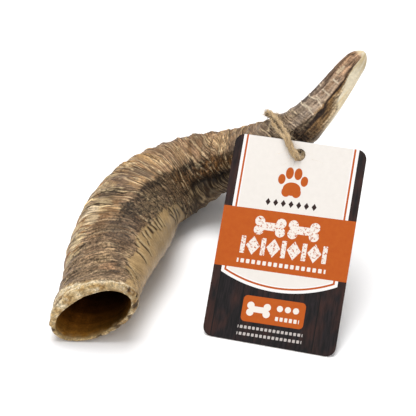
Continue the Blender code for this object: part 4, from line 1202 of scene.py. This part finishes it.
def make_fibres(paths):
    """Loose fibres: short curved hairs, three-sided and tapering, that start on a strand's skin and bend away
    along a parabola. More of them stand at the tails' ends."""
    rng = np.random.default_rng(77)
    starts, along, out = [], [], []
    for path, closed in paths:
        across, above = carry_frame(path, closed)
        tangent = unit(np.gradient(path, axis=0))
        count = int(len(path) * FIBRES_A_STEP)
        index = rng.integers(0, len(path), count)
        if not closed:
            index = np.concatenate((index, rng.integers(len(path) - 6, len(path), TAIL_FIBRES)))
        turn = rng.uniform(0, TAU, len(index))[:, None]
        outward = across[index] * np.cos(turn) + above[index] * np.sin(turn)
        starts.append(path[index] + outward * STRAND * 0.42)
        along.append(tangent[index] * rng.choice((-1, 1), len(index))[:, None])
        out.append(outward)
    start, run, out = (np.concatenate(rows) for rows in (starts, along, out))
    count = len(start)
    reach = rng.gamma(2.0, 0.75, count)[:, None, None] + 0.5
    part = np.linspace(0, 1, HAIR_STEPS)[None, :, None]
    stray = rng.normal(0, 0.5, (count, 1, 3))
    heading = run[:, None] + out[:, None] * rng.uniform(0.15, 0.9, (count, 1, 1)) + stray * 0.5
    bend = rng.normal(0, 0.35, (count, 1, 3)) + out[:, None] * 0.2
    hair = start[:, None] + reach * (heading * part + bend * part**2)
    tangent = unit(np.gradient(hair, axis=1))
    across = unit(np.cross(tangent, np.array((0.31, 0.57, 0.76))))
    above = np.cross(tangent, across)
    corner = (np.arange(3) * TAU / 3)[None, None, :, None]
    radius = HAIR / 2 * (1 - 0.75 * part)[..., None]
    ring = across[:, :, None] * np.cos(corner) + above[:, :, None] * np.sin(corner)
    grid = hair[:, :, None] + radius * ring
    block = HAIR_STEPS * 3
    first = np.arange(count)[:, None] * block
    quads = (grid_faces(HAIR_STEPS, 3) + first[..., None]).reshape(-1, 4)
    ends = np.concatenate((first + (2, 1, 0), first + block - (3, 2, 1)))
    mesh = make_mesh("jute fibres", grid.reshape(-1, 3), quads, ends)
    set_value(mesh, "fibre", "FLOAT_VECTOR", np.repeat(rng.uniform(0, 50, (count, 3)), block, axis=0))
    place_piece("twine_fibres", mesh, twine_material("loose jute fibre", "#e4cfa8", "#a98656"), None)


def make_stage():
    """Pale floor, soft light from above and a little left, and the camera of the photograph. The floor is
    matt paper, even and without a shine."""
    mesh = bpy.data.meshes.new("studio floor")
    corners = [(x * FLOOR_HALF, y * FLOOR_HALF, 0) for x, y in ((-1, -1), (1, -1), (1, 1), (-1, 1))]
    mesh.from_pydata(corners, [], [(0, 1, 2, 3)])
    material, shader, _ = new_material("white studio paper")
    plug(shader, Base_Color="#fbfafa", Roughness=0.9)
    mesh.materials.append(material)
    floor = bpy.data.objects.new("studio_floor", mesh)
    scene = bpy.context.scene
    scene.collection.objects.link(floor)

    scene.view_settings.view_transform = "Standard"
    world = bpy.data.worlds.new("soft white room")
    world.use_nodes = True
    plug(world.node_tree.nodes["Background"], Color="#fcfdff", Strength=ROOM_STRENGTH)
    scene.world = world
    camera = bpy.data.objects.new("camera", bpy.data.cameras.new("camera"))
    camera.location = CAMERA_PLACE
    camera.rotation_euler = (CAMERA_TILT, 0, 0)
    camera.data.lens = CAMERA_LENS
    camera.data.sensor_width = 36
    camera.data.clip_start = 0.01
    scene.collection.objects.link(camera)
    scene.camera = camera
    for name, place, size, power in LAMPS:
        light = bpy.data.lights.new(name, "AREA")
        light.size = size
        light.energy = power
        lamp = bpy.data.objects.new(name, light)
        lamp.location = place
        lamp.rotation_euler = (Vector(LAMP_AIM) - Vector(place)).to_track_quat("-Z", "Y").to_euler()
        scene.collection.objects.link(lamp)


make_stage()
make_horn()
dress_card()
make_fibres(make_twine())
